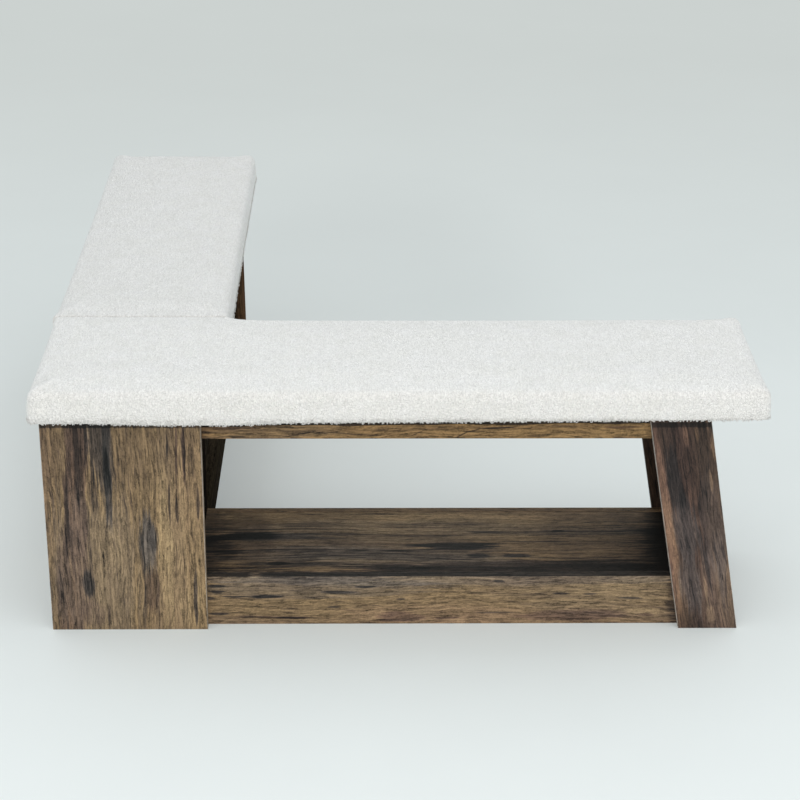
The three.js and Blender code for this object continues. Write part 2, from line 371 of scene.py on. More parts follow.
class Grain(Enum):
    """How a board's printed grain lies: the parts across it and along it, and the board's depth.

    Each value holds the direction across the grain, along it and through the board's thickness.
    """

    UPRIGHT_FRONT = (X, Z, Y)
    UPRIGHT_SIDE = (Y, Z, X)
    RAIL_FRONT = (Z, X, Y)
    RAIL_SIDE = (Z, Y, X)
    SHELF_FRONT = (Y, X, Z)
    SHELF_SIDE = (X, Y, Z)
    LEG_FRONT = ((1.0, 0.0, LEAN_SLOPE), Z, Y)
    LEG_SIDE = ((0.0, 1.0, LEAN_SLOPE), Z, X)
    END_FRONT = (Y, Z, (math.cos(LEAN_ANGLE), 0.0, math.sin(LEAN_ANGLE)))
    END_SIDE = (X, Z, (0.0, math.cos(LEAN_ANGLE), math.sin(LEAN_ANGLE)))


class Tones(Enum):
    """Rows of tones of the wood print, from dark to light, as screen colours."""

    TAN = ((20, 17, 15), (46, 40, 35), (81, 67, 54), (113, 94, 71), (137, 115, 85), (154, 131, 97))
    RED = ((21, 17, 15), (47, 38, 34), (79, 63, 54), (107, 85, 70), (132, 107, 85), (151, 126, 98))
    COLD = ((17, 18, 18), (44, 42, 41), (75, 69, 65), (103, 94, 86), (129, 118, 103), (150, 137, 114))

    def stops(self, stain: Triple) -> list[tuple[float, Colour]]:
        """Places and colours for a ramp.

        Args:
            stain: Factors on red, green and blue.

        Returns:
            The stops, with the colours tinted.
        """
        found = []
        for place, screen in zip(TONE_PLACES, self.value):
            red, green, blue, alpha = paint(*screen)
            found.append((place, (red * stain[0], green * stain[1], blue * stain[2], alpha)))
        return found


# Places of the tones on their ramp, the tone of plain wood and the colour of the pale edges, a painted
# highlight that also stands for pale raw edges
TONE_PLACES = (0.0, 0.2, 0.4, 0.58, 0.76, 0.96)
PLAIN_TONE = 0.67
ARRIS_COLOUR = paint(186, 179, 170)

# Tints of a plain board and of one deep in the bench's own shade, whose dark tint is painted shade
PLAIN_TINT = (1.0, 1.0, 1.0)
PAINTED_SHADE_TINT = (0.11, 0.13, 0.16)


@dataclass(frozen=True)
class MarkAndShade:
    """A soft patch in the print's tone: most are marks of the print itself, and some are painted shade and
    shadows.

    Attributes:
        across: Place of its middle across the grain, in metres from the board's low edge.
        along: Place of its middle along the grain, in metres from the board's low end.
        half_width: Half its size across the grain.
        half_length: Half its size along the grain.
        shift: What it adds to the tone, where a negative shift darkens.
        red: How much it turns the wood reddish, from 0 to 1.
        cold: How much it turns the wood greyish, from 0 to 1.
        drift: How far it slips across the grain for each metre along it.
        ragged: Factor on the fraying of its edge.
    """

    across: float
    along: float
    half_width: float
    half_length: float
    shift: float
    red: float = 0.0
    cold: float = 0.0
    drift: float = 0.0
    ragged: float = 1.0

    def mask(self, across: Term, along: Term, fray: Term) -> Term:
        """Cover of the patch.

        The distance from its middle is measured in its own half sizes, and the streaks of the
        grain are added, so that its edge frays along the grain. The cover falls softly with it.

        Args:
            across: Place across the grain.
            along: Place along the grain.
            fray: Streaky noise about nothing.

        Returns:
            Its cover from 0 to 1.
        """
        run = along - self.along
        side = (across - self.across - run * self.drift) / self.half_width
        end = run / self.half_length
        return ((side * side + end * end) ** 0.5 + fray * self.ragged).rise(1.15, 0.65)


def make_smudges(*rows: tuple[float, ...]) -> tuple[MarkAndShade, ...]:
    """Makes marks and painted shades from short rows.

    Args:
        *rows: The fields of one mark each, in their order, with its place and half sizes in
            millimetres. The last fields are left out where they have their usual value.

    Returns:
        The marks and painted shades.
    """
    return tuple(MarkAndShade(*(size / 1000.0 for size in row[:4]), *row[4:]) for row in rows)


@dataclass(frozen=True)
class PrintedBoard:
    """Rustic wood print under a thin, dull lacquer.

    Attributes:
        name: The material's name.
        grain: How the grain lies.
        seed: A shift that gives the board its own grain.
        level: Shifts the whole print towards its light tones where positive.
        rust: How much reddish wood there is.
        soot: How much charcoal streaking there is.
        stain: Factors on red, green and blue on the whole print. On the boards deepest under the seat they
            darken it as painted shade.
        gloss: How strongly its lacquer mirrors.
        arris: How pale its edges are, from 0 to 1: a painted highlight that also stands for pale raw edges.
        worn: Share of that paleness on the narrow faces.
        edge: What is added to the tone on its narrow faces.
        crisp: Strength of the fine fibres and specks.
        relief: Depth of its pores and fibres.
        corner: The board's low corner in the frame, from which smudges are measured.
        smudges: The marks that stand out on this board, and its patches of painted shade and shadow.
    """

    name: str
    grain: Grain
    seed: float
    level: float = 0.0
    rust: float = 0.4
    soot: float = 0.4
    stain: Triple = PLAIN_TINT
    gloss: float = 0.22
    arris: float = 0.05
    worn: float = 0.3
    edge: float = 0.0
    crisp: float = 1.0
    relief: float = 0.00018
    corner: Triple = (0.0, 0.0, 0.0)
    smudges: tuple[MarkAndShade, ...] = ()

    def material(self) -> bpy.types.Material:
        """Builds the material.

        Places are taken from the board's low corner and turned to the grain's directions. The
        tone is a sum of broad bands, streaks and fine fibres, all of them noise that is stretched
        along the grain and bent by a slow warp. Soot streaks, veins, dashes and the marks shift
        it, and some of those marks are painted shade and shadows. Three ramps turn it into tan,
        reddish and greyish wood, which are mixed. The edges are then paled, a painted highlight that
        also stands for pale raw edges, and specks of fibres, ticks, grit and pores darken and lighten the
        whole.

        Returns:
            The material.
        """
        tree = ShaderTree(self.name)
        seed = self.seed
        local = tree.scaled(tree.object_place(), (1.0, 1.0, 1.0), tuple(-part for part in self.corner))
        straight = tree.turned(local, self.grain.value)
        parts = tree.node("ShaderNodeSeparateXYZ", None, {0: straight})
        along = parts.part("Y")
        warp = tree.noise(straight, (5.0, 2.4, 5.0), seed + 3.0, 3.0)
        wave = tree.noise(straight, (14.0, 7.0, 14.0), seed + 5.0, 2.0)
        across = parts + (warp - 0.5) * 0.036 + (wave - 0.5) * 0.012
        place = tree.vector(across, along, parts.part("Z"))

        def streaks(wide: float, long: float, shift: float, *shape: float) -> Term:
            """Noise with these waves per metre across and along the grain."""
            return tree.noise(place, (wide, long, wide), seed + shift, *shape)

        broad = streaks(12.0, 0.8, 0.0, 3.0, 0.55)
        streak = streaks(70.0, 3.0, 11.0, 5.0, 0.68)
        fibre = streaks(150.0, 6.0, 23.0, 4.0, 0.72)
        hair = streaks(240.0, 10.0, 29.0, 3.0, 0.7)
        tone = (broad - 0.5) * 0.2 + (streak - 0.5) * 0.26 + (fibre - 0.5) * 0.34 + (PLAIN_TONE + self.level)

        soot_bands = streaks(16.0, 1.6, 41.0).rise(0.5, 0.64)
        soot = streaks(110.0, 4.0, 53.0, 3.0, 0.6).rise(0.46, 0.62)
        coarse = streaks(60.0, 4.5, 91.0, 4.0, 0.6)
        fine = streaks(130.0, 9.0, 97.0, 3.0, 0.6)
        veins = abs(coarse - 0.5).rise(0.02, 0.0) * 0.12 + abs(fine - 0.5).rise(0.03, 0.0) * 0.1
        dashes = streaks(230.0, 13.0, 67.0, 2.0, 0.6).rise(0.62, 0.68)
        tone = tone - soot_bands * soot * (0.5 * self.soot) - veins - dashes * 0.2
        facing = tree.facing(self.grain.value[2])
        tone = tone + facing.rise(0.7, 0.3) * self.edge

        red = streaks(10.0, 0.6, 37.0).rise(0.46, 0.62) * self.rust
        cold = soot_bands * (0.5 * self.soot)
        mark_across = parts + (wave - 0.5) * 0.008
        fray = (streak - 0.5) * 1.5 + (fibre - 0.5) * 1.0 + (hair - 0.5) * 0.9
        # Each mark shifts the tone and may redden or grey it; some are print marks, others painted shade and
        # shadows
        for mark in self.smudges:
            cover = mark.mask(mark_across, along, fray)
            tone = tone + cover * mark.shift
            if mark.red:
                red = red + cover * mark.red
            if mark.cold:
                cold = cold + cover * mark.cold
        colour = tree.ramp(tone, Tones.TAN.stops(self.stain))
        colour = tree.blend(red.at_most(1.0), colour, tree.ramp(tone, Tones.RED.stops(self.stain)))
        colour = tree.blend(cold.at_most(1.0), colour, tree.ramp(tone, Tones.COLD.stops(self.stain)))

        pores = streaks(330.0, 110.0, 71.0, 2.0, 0.6).rise(0.53, 0.66)
        ticks = tree.flecks(place, (480.0, 75.0, 480.0), seed + 83.0)
        grit = tree.flecks(place, (480.0, 430.0, 480.0), seed + 89.0)
        specks = (hair - 0.5) * 2.0 + (ticks - 0.5) * 0.9 + (grit - 0.5) * 0.45 - pores * 0.1
        # Painted highlight along the edges, which also stands for pale raw edges: the chamfers are paled,
        # and the narrow faces by their share
        off_face = facing.rise(0.95, 0.6)
        chamfer = facing.rise(0.3, 0.6)
        arris = off_face * (chamfer * (1.0 - self.worn) + self.worn) * self.arris
        colour = tree.blend(arris, colour, ARRIS_COLOUR)
        colour = tree.blend(1.0, colour, (1.02 + specks * self.crisp).at_most(1.55), "MULTIPLY")
        roughness = 0.56 + hair * 0.12 + pores * 0.1 - arris * 0.1
        height = 0.6 + (hair - 0.5) * 0.5 + (ticks - 0.5) * 0.15 - pores * 0.5 - dashes * 0.2
        return tree.finish(colour, roughness, height, self.relief, {"Specular IOR Level": self.gloss})


@dataclass(frozen=True)
class RawWood:
    """Planed softwood of the battens, cleats and supports.

    Attributes:
        name: The material's name.
        grain: How the grain lies.
        relief: Depth of its fibres.
    """

    name: str
    grain: Grain
    relief: float = 0.0002

    def material(self) -> bpy.types.Material:
        """Builds the material: growth rings seen as streaks along the grain, with fine fibres.

        Returns:
            The material.
        """
        tree = ShaderTree(self.name)
        place = tree.turned(tree.object_place(), self.grain.value)
        rings = tree.noise(place, (90.0, 3.0, 90.0), 5.0, 2.0)
        fibre = tree.noise(place, (700.0, 20.0, 700.0), 9.0, 2.0)
        tone = rings * 0.8 + fibre * 0.3 - 0.05
        stops = [(0.2, paint(156, 123, 84)), (0.5, paint(189, 157, 115)), (0.8, paint(206, 179, 138))]
        height = 0.5 + (fibre - 0.5) * 0.6 + (rings - 0.5) * 0.3
        return tree.finish(tree.ramp(tone, stops), 0.72 + fibre * 0.1, height, self.relief)


@dataclass(frozen=True)
class Plywood:
    """Thin plywood of the boards in the pads.

    Attributes:
        name: The material's name.
        relief: Depth of its fibres.
    """

    name: str
    relief: float = 0.0002

    def material(self) -> bpy.types.Material:
        """Builds the material: wide figure on the faces and thin dark plies on the edges.

        Returns:
            The material.
        """
        tree = ShaderTree(self.name)
        place = tree.object_place()
        figure = tree.noise(place, (22.0, 5.0, 22.0), 2.0, 4.0, 0.6)
        fibre = tree.noise(place, (600.0, 30.0, 600.0), 4.0, 2.0)
        stops = [(0.25, paint(170, 138, 98)), (0.55, paint(198, 168, 126)), (0.8, paint(214, 189, 150))]
        colour = tree.ramp(figure * 0.8 + fibre * 0.3, stops)
        plies = tree.noise(place, (8.0, 8.0, 640.0), 6.0, 1.0).rise(0.48, 0.56)
        edges = tree.facing(Z).rise(0.5, 0.2)
        colour = tree.blend(plies * edges * 0.55, colour, paint(112, 82, 54))
        return tree.finish(colour, 0.7 + fibre * 0.12, 0.5 + (fibre - 0.5) * 0.5, self.relief)


@dataclass(frozen=True)
class ZincSteel:
    """Zinc-plated steel of the screws and brackets.

    Attributes:
        name: The material's name.
        spangles: How many spangles there are in a metre.
        relief: Depth of its scratches.
    """

    name: str
    spangles: float = 260.0
    relief: float = 0.00005

    def material(self) -> bpy.types.Material:
        """Builds the material: a dull metal with spangle and fine scratches.

        Returns:
            The material.
        """
        tree = ShaderTree(self.name)
        place = tree.object_place()
        spangle = tree.cells(place, self.spangles)
        scratch = tree.noise(place, (1500.0, 60.0, 1500.0), 3.0, 2.0)
        tone = spangle * 0.5 + scratch * 0.6
        colour = tree.ramp(tone, [(0.2, paint(148, 152, 156)), (0.8, paint(198, 201, 203))])
        roughness = 0.3 + spangle * 0.12 + scratch * 0.15
        return tree.finish(colour, roughness, scratch, self.relief, {"Metallic": 1.0})


@dataclass(frozen=True)
class LoopedFleece:
    """White looped fleece of the pad covers.

    Attributes:
        name: The material's name.
        white: Factor on its colour.
        loop: Width of one loop, in metres.
        relief: Height of its curls.
        mean: Mean brightness of the curls.
        spread: How much the brightness differs from curl to curl.
        front_spread: How much more it differs on the faces that look along Y.
        front_shading_tint: Factors on the colour of those faces, a painted shading that makes them a little
            darker and warmer.
    """

    name: str
    white: float = 1.0
    loop: float = 0.0031
    relief: float = 0.0012
    mean: float = 0.925
    spread: float = 0.16
    front_spread: float = 0.07
    front_shading_tint: Colour = (0.985, 0.965, 0.955, 1.0)

    def material(self) -> bpy.types.Material:
        """Builds the material.

        A cell pattern that noise has pushed about gives one curl for each cell: the relief is
        highest at a ring round the cell's middle. The hollows between curls are painted a little
        darker and warmer, as shade, a slow noise makes the pile uneven, and flecks set curl off
        against curl. The faces that look along Y get a painted shading tint, a little darker and
        warmer, and have stronger flecks.

        Returns:
            The material.
        """
        tree = ShaderTree(self.name)
        place = tree.object_place()
        sockets = {"Vector": place, "Scale": 0.6 / self.loop, "Detail": 2.0, "Roughness": 0.6}
        push = tree.node("ShaderNodeTexNoise", {"noise_dimensions": "3D"}, sockets, output="Color")
        pushed = tree.scaled(push, (self.loop,) * 3, (-0.5 * self.loop,) * 3)
        moved = tree.node("ShaderNodeVectorMath", {"operation": "ADD"}, {0: place, 1: pushed})
        cells = tree.cells(moved, 1.0 / self.loop)
        ring = 1.0 - (abs(cells - 0.32) * 3.0).at_most(1.0)
        yarn = tree.noise(place, (1500.0, 1500.0, 1500.0), 7.0, 2.0)
        hollow = cells.rise(0.5, 0.85)
        pile = tree.noise(place, (28.0, 28.0, 28.0), 13.0, 3.0, 0.6)
        stops = [(0.3, paint(249, 249, 246)), (0.5, paint(251, 251, 249)), (0.7, paint(253, 253, 252))]
        colour = tree.ramp(pile, stops)
        # Painted shade in the hollows between the curls
        colour = tree.blend(hollow * 0.3, colour, paint(210, 208, 204))
        curls = tree.flecks(place, (560.0, 180.0, 290.0), 17.0)
        front = tree.facing(Y).rise(0.2, 0.9)
        flecks = (curls - 0.5) * (self.spread + front * self.front_spread)
        colour = tree.blend(1.0, colour, self.mean + flecks, "MULTIPLY")
        # Painted shading: the faces that look along Y are made a little darker and warmer
        colour = tree.blend(front, colour, self.front_shading_tint, "MULTIPLY")
        colour = tree.blend(1.0, colour, (self.white,) * 3 + (1.0,), "MULTIPLY")
        height = ring * 0.7 + yarn * 0.3 - hollow * 0.4
        constants = {"Sheen Weight": 0.1, "Sheen Roughness": 0.6, "Specular IOR Level": 0.15}
        return tree.finish(colour, 0.9 + yarn * 0.08, height, self.relief, constants)


# Noise on arrays


def lattice_random(cells: np.ndarray, seed: int) -> np.ndarray:
    """Random numbers that belong to whole-number places.

    The three parts and the seed are each multiplied by a large odd number and joined bit by bit,
    and the result is stirred twice by multiplying and folding its high bits down.

    Args:
        cells: Whole numbers, with the three parts last.
        seed: A whole number that picks the pattern.

    Returns:
        Numbers from 0 to 1, one for each place.
    """
    parts = cells.astype(np.int64).astype(np.uint32)
    mixed = parts[..., 0] * np.uint32(73856093)
    mixed = mixed ^ (parts[..., 1] * np.uint32(19349663))
    mixed = mixed ^ (parts[..., 2] * np.uint32(83492791))
    mixed = mixed ^ np.uint32((seed * 2654435761) & 0xFFFFFFFF)
    for factor in (0x85EBCA6B, 0xC2B2AE35):
        mixed = (mixed ^ (mixed >> np.uint32(15))) * np.uint32(factor)
    mixed = mixed ^ (mixed >> np.uint32(16))
    return mixed.astype(np.float64) / 4294967296.0


def cloud(points: np.ndarray, seed: int) -> np.ndarray:
    """Smooth noise with waves of about one unit.

    The eight random numbers round a point are mixed by its place in their cell, which is eased
    at both ends as three times its square less twice its cube.

    Args:
        points: Places, with the three parts last.
        seed: A whole number that picks the pattern.

    Returns:
        Numbers from 0 to 1.
    """
    base = np.floor(points)
    inner = points - base
    eased = inner * inner * (3.0 - 2.0 * inner)
    total = np.zeros(points.shape[:-1])
    for corner in np.ndindex(2, 2, 2):
        step = np.array(corner)
        weight = np.where(step == 1, eased, 1.0 - eased).prod(-1)
        total += weight * lattice_random(base + step, seed)
    return total


def nearest_seed(points: np.ndarray, seed: int) -> np.ndarray:
    """Distance to the nearest of the random seeds, one of which lies in each unit cell.

    Args:
        points: Places, with the three parts last.
        seed: A whole number that picks the pattern.

    Returns:
        The distances, in cells.
    """
    base = np.floor(points)
    nearest = np.full(points.shape[:-1], 9.0)
    for offset in np.ndindex(3, 3, 3):
        cell = base + np.array(offset) - 1.0
        jitter = np.stack([lattice_random(cell, seed + part) for part in range(3)], -1)
        gap = np.sqrt(((cell + jitter - points) ** 2).sum(-1))
        nearest = np.minimum(nearest, gap)
    return nearest


# Meshes


def put_in_scene(name: str, data: bpy.types.ID) -> bpy.types.Object:
    """Makes an object of some data and links it to the scene."""
    made = bpy.data.objects.new(name, data)
    bpy.context.scene.collection.objects.link(made)
    return made


def make_object(name: str, points: np.ndarray, faces: np.ndarray) -> bpy.types.Object:
    """Makes a mesh object at the origin.

    Args:
        name: The object's name.
        points: Vertex places, n by 3.
        faces: Vertex numbers of the four-sided faces, m by 4.

    Returns:
        The object, linked to the scene.
    """
    mesh = bpy.data.meshes.new(name)
    mesh.vertices.add(len(points))
    mesh.vertices.foreach_set("co", points.astype(np.float32).ravel())
    mesh.loops.add(faces.size)
    mesh.loops.foreach_set("vertex_index", faces.astype(np.int32).ravel())
    mesh.polygons.add(len(faces))
    mesh.polygons.foreach_set("loop_start", np.arange(0, faces.size, faces.shape[1], dtype=np.int32))
    mesh.polygons.foreach_set("use_smooth", np.ones(len(faces), dtype=bool))
    mesh.update(calc_edges=True)
    mesh.validate()
    return put_in_scene(name, mesh)


def read_vectors(rows: bpy.types.bpy_prop_collection, key: str) -> np.ndarray:
    """One vector of each of Blender's rows, n by 3."""
    flat = np.empty(len(rows) * 3, dtype=np.float32)
    rows.foreach_get(key, flat)
    return flat.reshape(-1, 3).astype(np.float64)


def read_points(mesh: bpy.types.Mesh) -> np.ndarray:
    """Vertex places of a mesh, n by 3."""
    return read_vectors(mesh.vertices, "co")


def read_normals(mesh: bpy.types.Mesh) -> np.ndarray:
    """Vertex normals of a mesh, n by 3."""
    return read_vectors(mesh.vertex_normals, "vector")


def write_points(mesh: bpy.types.Mesh, points: np.ndarray) -> None:
    """Puts new vertex places into a mesh."""
    mesh.vertices.foreach_set("co", points.astype(np.float32).ravel())
    mesh.update()


def box_lattice(counts: tuple[int, int, int]) -> tuple[np.ndarray, np.ndarray]:
    """Surface of a box of cells.

    Each side is a grid of whole-number places. Places that two sides share are kept once.

    Args:
        counts: Cells along the three directions.

    Returns:
        The whole-number places of the vertices, n by 3, and the faces, m by 4, facing outwards.
    """
    sides = []
    for axis in range(3):
        first, second = (axis + 1) % 3, (axis + 2) % 3
        u, v = np.meshgrid(np.arange(counts[first]), np.arange(counts[second]), indexing="ij")
        u, v = u.ravel(), v.ravel()
        for level, order in ((0, (0, 3, 2, 1)), (counts[axis], (0, 1, 2, 3))):
            quads = np.zeros((len(u), 4, 3), dtype=np.int64)
            quads[:, :, axis] = level
            for place, (du, dv) in zip(order, ((0, 0), (1, 0), (1, 1), (0, 1))):
                quads[:, place, first] = u + du
                quads[:, place, second] = v + dv
            sides.append(quads)
    corners = np.concatenate(sides).reshape(-1, 3)
    places, faces = np.unique(corners, axis=0, return_inverse=True)
    return places, faces.reshape(-1, 4)


# Marks, painted shade and tints of single boards

# Each row is a print mark, or a patch of painted shade where noted: across, along, half width and half
# length in millimetres, shift, red, cold, drift and ragged. A half size of 9000 runs over the whole board.
CORNER_MARKS = make_smudges(
    (18, 280, 18, 160, 0.04), (57, 290, 22, 190, -0.12, 0.9, 0, 0.05),
    (42, 90, 30, 160, -0.06, 0.8, 0, 0.06), (61, 330, 7, 80, -0.22),
    (36, 200, 5, 80, -0.18, 0.3, 0, 0.03), (100, 355, 23, 130, -0.24, 0, 0.5, -0.02),
    (112, 350, 10, 90, -0.11, 0, 0.4, -0.02), (109, 275, 7.5, 80, -0.2, 0, 0.5, -0.02),
    (80, 335, 2.5, 80, 0.25, 0, 0, 0.02), (66, 92, 13, 28, -0.34, 0, 0.5), (74, 150, 3, 110, -0.22),
    (175, 165, 17, 60, -0.1, 0, 0.9), (182, 180, 9, 36, -0.16, 0, 0.3, 0.02),
    (163, 140, 4.5, 55, -0.28, 0, 0.3), (178, 80, 14, 50, -0.18, 0.4, 0, 0.02),
    # The row at 392 along, across the whole panel, is a painted shadow under the pad's lip
    (202, 150, 13, 170, 0.26), (240, 180, 30, 260, 0.13), (135, 392, 9000, 5, -0.34, 0, 0, 0, 0.6),
    (100, 345, 150, 78, -0.09), (83, 270, 12, 45, -0.2), (53, 240, 12, 70, 0.11),
    (115, 165, 12, 40, 0.08), (262, 50, 30, 60, 0.09), (245, 335, 14, 60, -0.09),
    (270, 360, 12, 60, 0.07), (215, 50, 20, 60, 0.05), (75, 30, 25, 30, -0.07, 0.4),
    (85, 120, 90, 170, 0, 0, 0.3), (212, 350, 2.4, 26, -0.4), (213, 245, 2.4, 40, -0.36),
    (226, 230, 2.6, 24, -0.36), (228, 355, 2.2, 55, -0.25, 0.6, 0, 0.02),
    (240, 345, 3.6, 60, -0.32, 0.8), (262, 245, 2.8, 30, -0.34), (251, 60, 3.2, 55, -0.4, 0, 0.4, 0.02),
)

FRONT_MARKS: Mapping[str, tuple[MarkAndShade, ...]] = {
    "front_arm_front_rail": make_smudges(
        (75.7, 293, 3, 18, -0.35, 0, 0.4), (63.8, 250, 3.5, 40, -0.35, 0, 0.4),
        (54.3, 124, 3.5, 32, -0.4, 0, 0.4), (54.3, 66, 2.2, 30, -0.28, 0, 0.4),
        (76.3, 34, 3, 16, -0.35, 0, 0.4), (64.4, 34, 3, 16, -0.35, 0, 0.4),
        (52.5, 22, 3, 10, -0.3, 0, 0.4), (20.5, 36, 3, 19, -0.35, 0, 0.4),
        (49.6, 355, 2.6, 11, -0.35, 0, 0.4), (33.9, 239, 2.6, 13, -0.3, 0, 0.3),
        (85, 526, 2.6, 10, -0.3, 0, 0.3), (58.9, 635, 2.8, 15, -0.35, 0, 0.4),
        (58.8, 686, 2.8, 13, -0.35, 0, 0.4), (50.7, 756, 3, 24, -0.3, 0, 0.4),
        (21.2, 521, 2, 38, -0.25, 0, 0.3), (10.8, 436, 2.2, 22, -0.25, 0.3),
        (14.2, 133, 1.6, 80, -0.22, 0.6), (14.2, 164, 2.8, 28, -0.28, 0.8),
        (14.5, 352, 10, 40, -0.22, 0.9), (16.7, 658, 12, 95, -0.14, 1), (17.5, 785, 3.5, 17, -0.14, 0.8),
        (19, 430, 22, 190, 0.14, 0.5), (21.5, 782, 11, 34, 0.16), (88, 400, 12, 600, 0, 0.3, 0.35),
        (73, 200, 26, 230, -0.08, 0, 0.4), (45, 720, 40, 110, 0.05), (21, 490, 12, 110, -0.05),
        # The row at 850 along is a painted shadow at the rail's right end, by the leg
        (33, 110, 16, 60, 0.05), (47, 850, 100, 30, -0.25), (95, 102, 3, 15, 0.36),
    ),
    "front_arm_front_apron": make_smudges(
        # The rows at 30.2 and 26.2 across are a painted shadow under the pad's lip
        (19, 430, 3, 9000, -0.12, 0, 0, 0.0133), (30.2, 430, 4, 9000, -0.6, 0, 0, 0.0055, 0.6),
        (26.2, 50, 4.2, 100, -0.6, 0, 0, 0, 0.6), (18, 130, 30, 130, -0.05, 0, 0.3),
        (10, 740, 20, 80, 0.05), (20, 10, 30, 24, -0.2), (20, 70, 6, 50, -0.18, 0.6),
        (3.5, 78, 1.8, 12, -0.4), (9, 185, 1.2, 36, -0.3, 0, 0, 0.23),
        (9, 291, 1.3, 42, -0.34, 0, 0, -0.047), (11, 383, 1.2, 18, -0.34, 0, 0, 0.5),
        (7, 457, 1.8, 10, -0.45, 0, 0, 0.55), (14.3, 475, 1.6, 13, -0.4, 0, 0, 0.31),
        (20.8, 520, 1.8, 36, -0.4, 0, 0, 0.08), (2.5, 734, 1.6, 28, -0.34, 0.6),
        (21.5, 727, 3, 35, -0.26, 0.6), (4.9, 582, 1.2, 11, -0.28),
    ),
    "front_arm_shelf": make_smudges(
        # The first two rows darken the shelf's left end beside the corner: painted shade
        (60, 0, 90, 65, -0.34), (170, 0, 90, 45, -0.24), (137, 75, 13, 65, -0.4, 0, 0.6),
        (134, 105, 18, 95, -0.2, 0, 0.5), (222, 190, 2.8, 30, -0.3), (221.5, 314, 2.8, 34, -0.3),
        (201.5, 275, 2.8, 52, -0.28), (178.5, 355, 3, 56, -0.28), (229, 403, 2.8, 25, -0.26),
        (178, 489, 3.2, 45, -0.26), (150, 508, 4.5, 31, -0.26, 0, 0.4), (154, 642, 4, 11, -0.36),
        (98, 450, 17, 80, -0.5, 0, 0.6), (112, 595, 3.2, 66, -0.24, 0, 0.3),
        (59, 493, 10, 23, -0.34, 0, 0.5), (60, 561, 10, 31, -0.34, 0, 0.5), (77, 276, 3, 23, -0.26),
        (77, 350, 3, 25, -0.26), (65, 217, 3, 13, -0.26), (31, 140, 9.5, 25, -0.32, 0, 0.4),
        # The row at 0 across is a darker, reddish front strip: partly print, partly painted shade under the
        # seat's front. On the next line, the rows at 710 and 80 along are painted shade towards the shelf's
        # ends
        (39.5, 490, 2.2, 66, 0.25), (0, 600, 44, 490, -0.5, 0.6), (185, 420, 50, 190, 0.14),
        (130, 710, 150, 110, -0.15, 0, 0, 0, 0.4), (120, 80, 130, 50, -0.15, 0, 0, 0, 0.4),
        (67, 360, 18, 300, -0.15), (30, 170, 22, 110, -0.3), (28, 470, 18, 120, 0.22),
        # The row at 980 along on this line and the rows on the next darken the shelf's right end beside the
        # leg: painted shade
        (50, 300, 50, 300, 0, 0, 0.5), (100, 980, 500, 270, -0.14, 0, 0, 0, 0.3),
        (60, 960, 160, 180, -0.4, 0, 0, 0, 0.3), (100, 890, 300, 95, -0.45, 0, 0, 0, 0.3),
    ),
    "right_leg_front_board": make_smudges(
        # The first row, across the whole board at 392 along, is a painted shadow under the pad's lip
        (50, 392, 9000, 5, -0.2, 0, 0, 0, 0.6), (50, 345, 70, 110, -0.09), (30, 195, 45, 45, 0.07),
        (85, 190, 30, 120, -0.03, 0, 0.5), (12, 45, 20, 40, 0.05), (7.5, 200, 9, 180, 0.33, 0.5),
        (27, 290, 12, 66, -0.08, 0, 0.7), (37, 195, 23, 66, -0.01, 0, 0.9),
        (34, 90, 19, 70, 0.1, 0, 0.8), (56.5, 373, 5, 23, 0.26), (75.5, 376, 2.8, 18, 0.2),
        (89, 284, 3, 23, 0.26), (58, 78, 3.5, 31, 0.26), (60, 30, 8, 18, 0.22), (88, 180, 20, 150, 0.07),
        (101, 350, 6, 26, 0.2), (65, 125, 3, 60, -0.14), (85, 60, 45, 120, 0.17, 0, 0.4),
    ),
}

FRONT_TINTS: Mapping[str, Triple] = {
    "front_arm_front_apron": (0.85, 0.76, 0.62),
    "front_arm_rear_rail": (0.6, 0.56, 0.52),
    "right_leg_front_board": (1.0, 0.92, 0.96),
    "right_leg_rear_board": (0.7, 0.62, 0.6),
    "right_leg_end_panel": (0.8, 0.76, 0.76),
    "front_arm_shelf": (0.85, 0.85, 0.85),
}

# The inner rail and the shelf of the left arm, deep under the seat, take the dark tint that paints their
# shade
LEFT_TINTS: Mapping[str, Triple] = {
    "left_arm_inner_rail": PAINTED_SHADE_TINT,
    "left_arm_shelf": PAINTED_SHADE_TINT,
    "left_arm_inner_apron": (0.4, 0.36, 0.33),
    "left_arm_outer_rail": (0.8, 0.76, 0.72),
    "far_leg_inner_board": (1.15, 0.95, 0.75),
    "far_leg_end_panel": (0.8, 0.76, 0.74),
}


# Sub-assemblies


def dress(node: str, material: bpy.types.Material) -> None:
    """Gives a CAD node one material.

    Args:
        node: The node's name.
        material: Its finish.
    """
    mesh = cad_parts[node].data
    mesh.materials.clear()
    mesh.materials.append(material)
    LOG.info("dressed %s with %s", node, material.name)


def print_board(node: str, grain: Grain, seed: float, **options: Any) -> None:
    """Dresses one board with a print of its own.

    The marks and painted shades are measured from the board's low corner. On a leaning board that
    is the lower end of its leaning edge.

    Args:
        node: The board's node.
        grain: How its grain lies.
        seed: The shift of its pattern.
        **options: Other fields of the finish.
    """
    low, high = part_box(node)
    lean = LEAN_SLOPE * (high.z - low.z)
    side = {Grain.LEG_FRONT: (lean, 0.0), Grain.LEG_SIDE: (0.0, lean)}.get(grain, (0.0, 0.0))
    corner = (low.x + side[0], low.y + side[1], low.z)
    finish = PrintedBoard(f"print_{node}", grain, seed, corner=corner, **options)
    dress(node, finish.material())


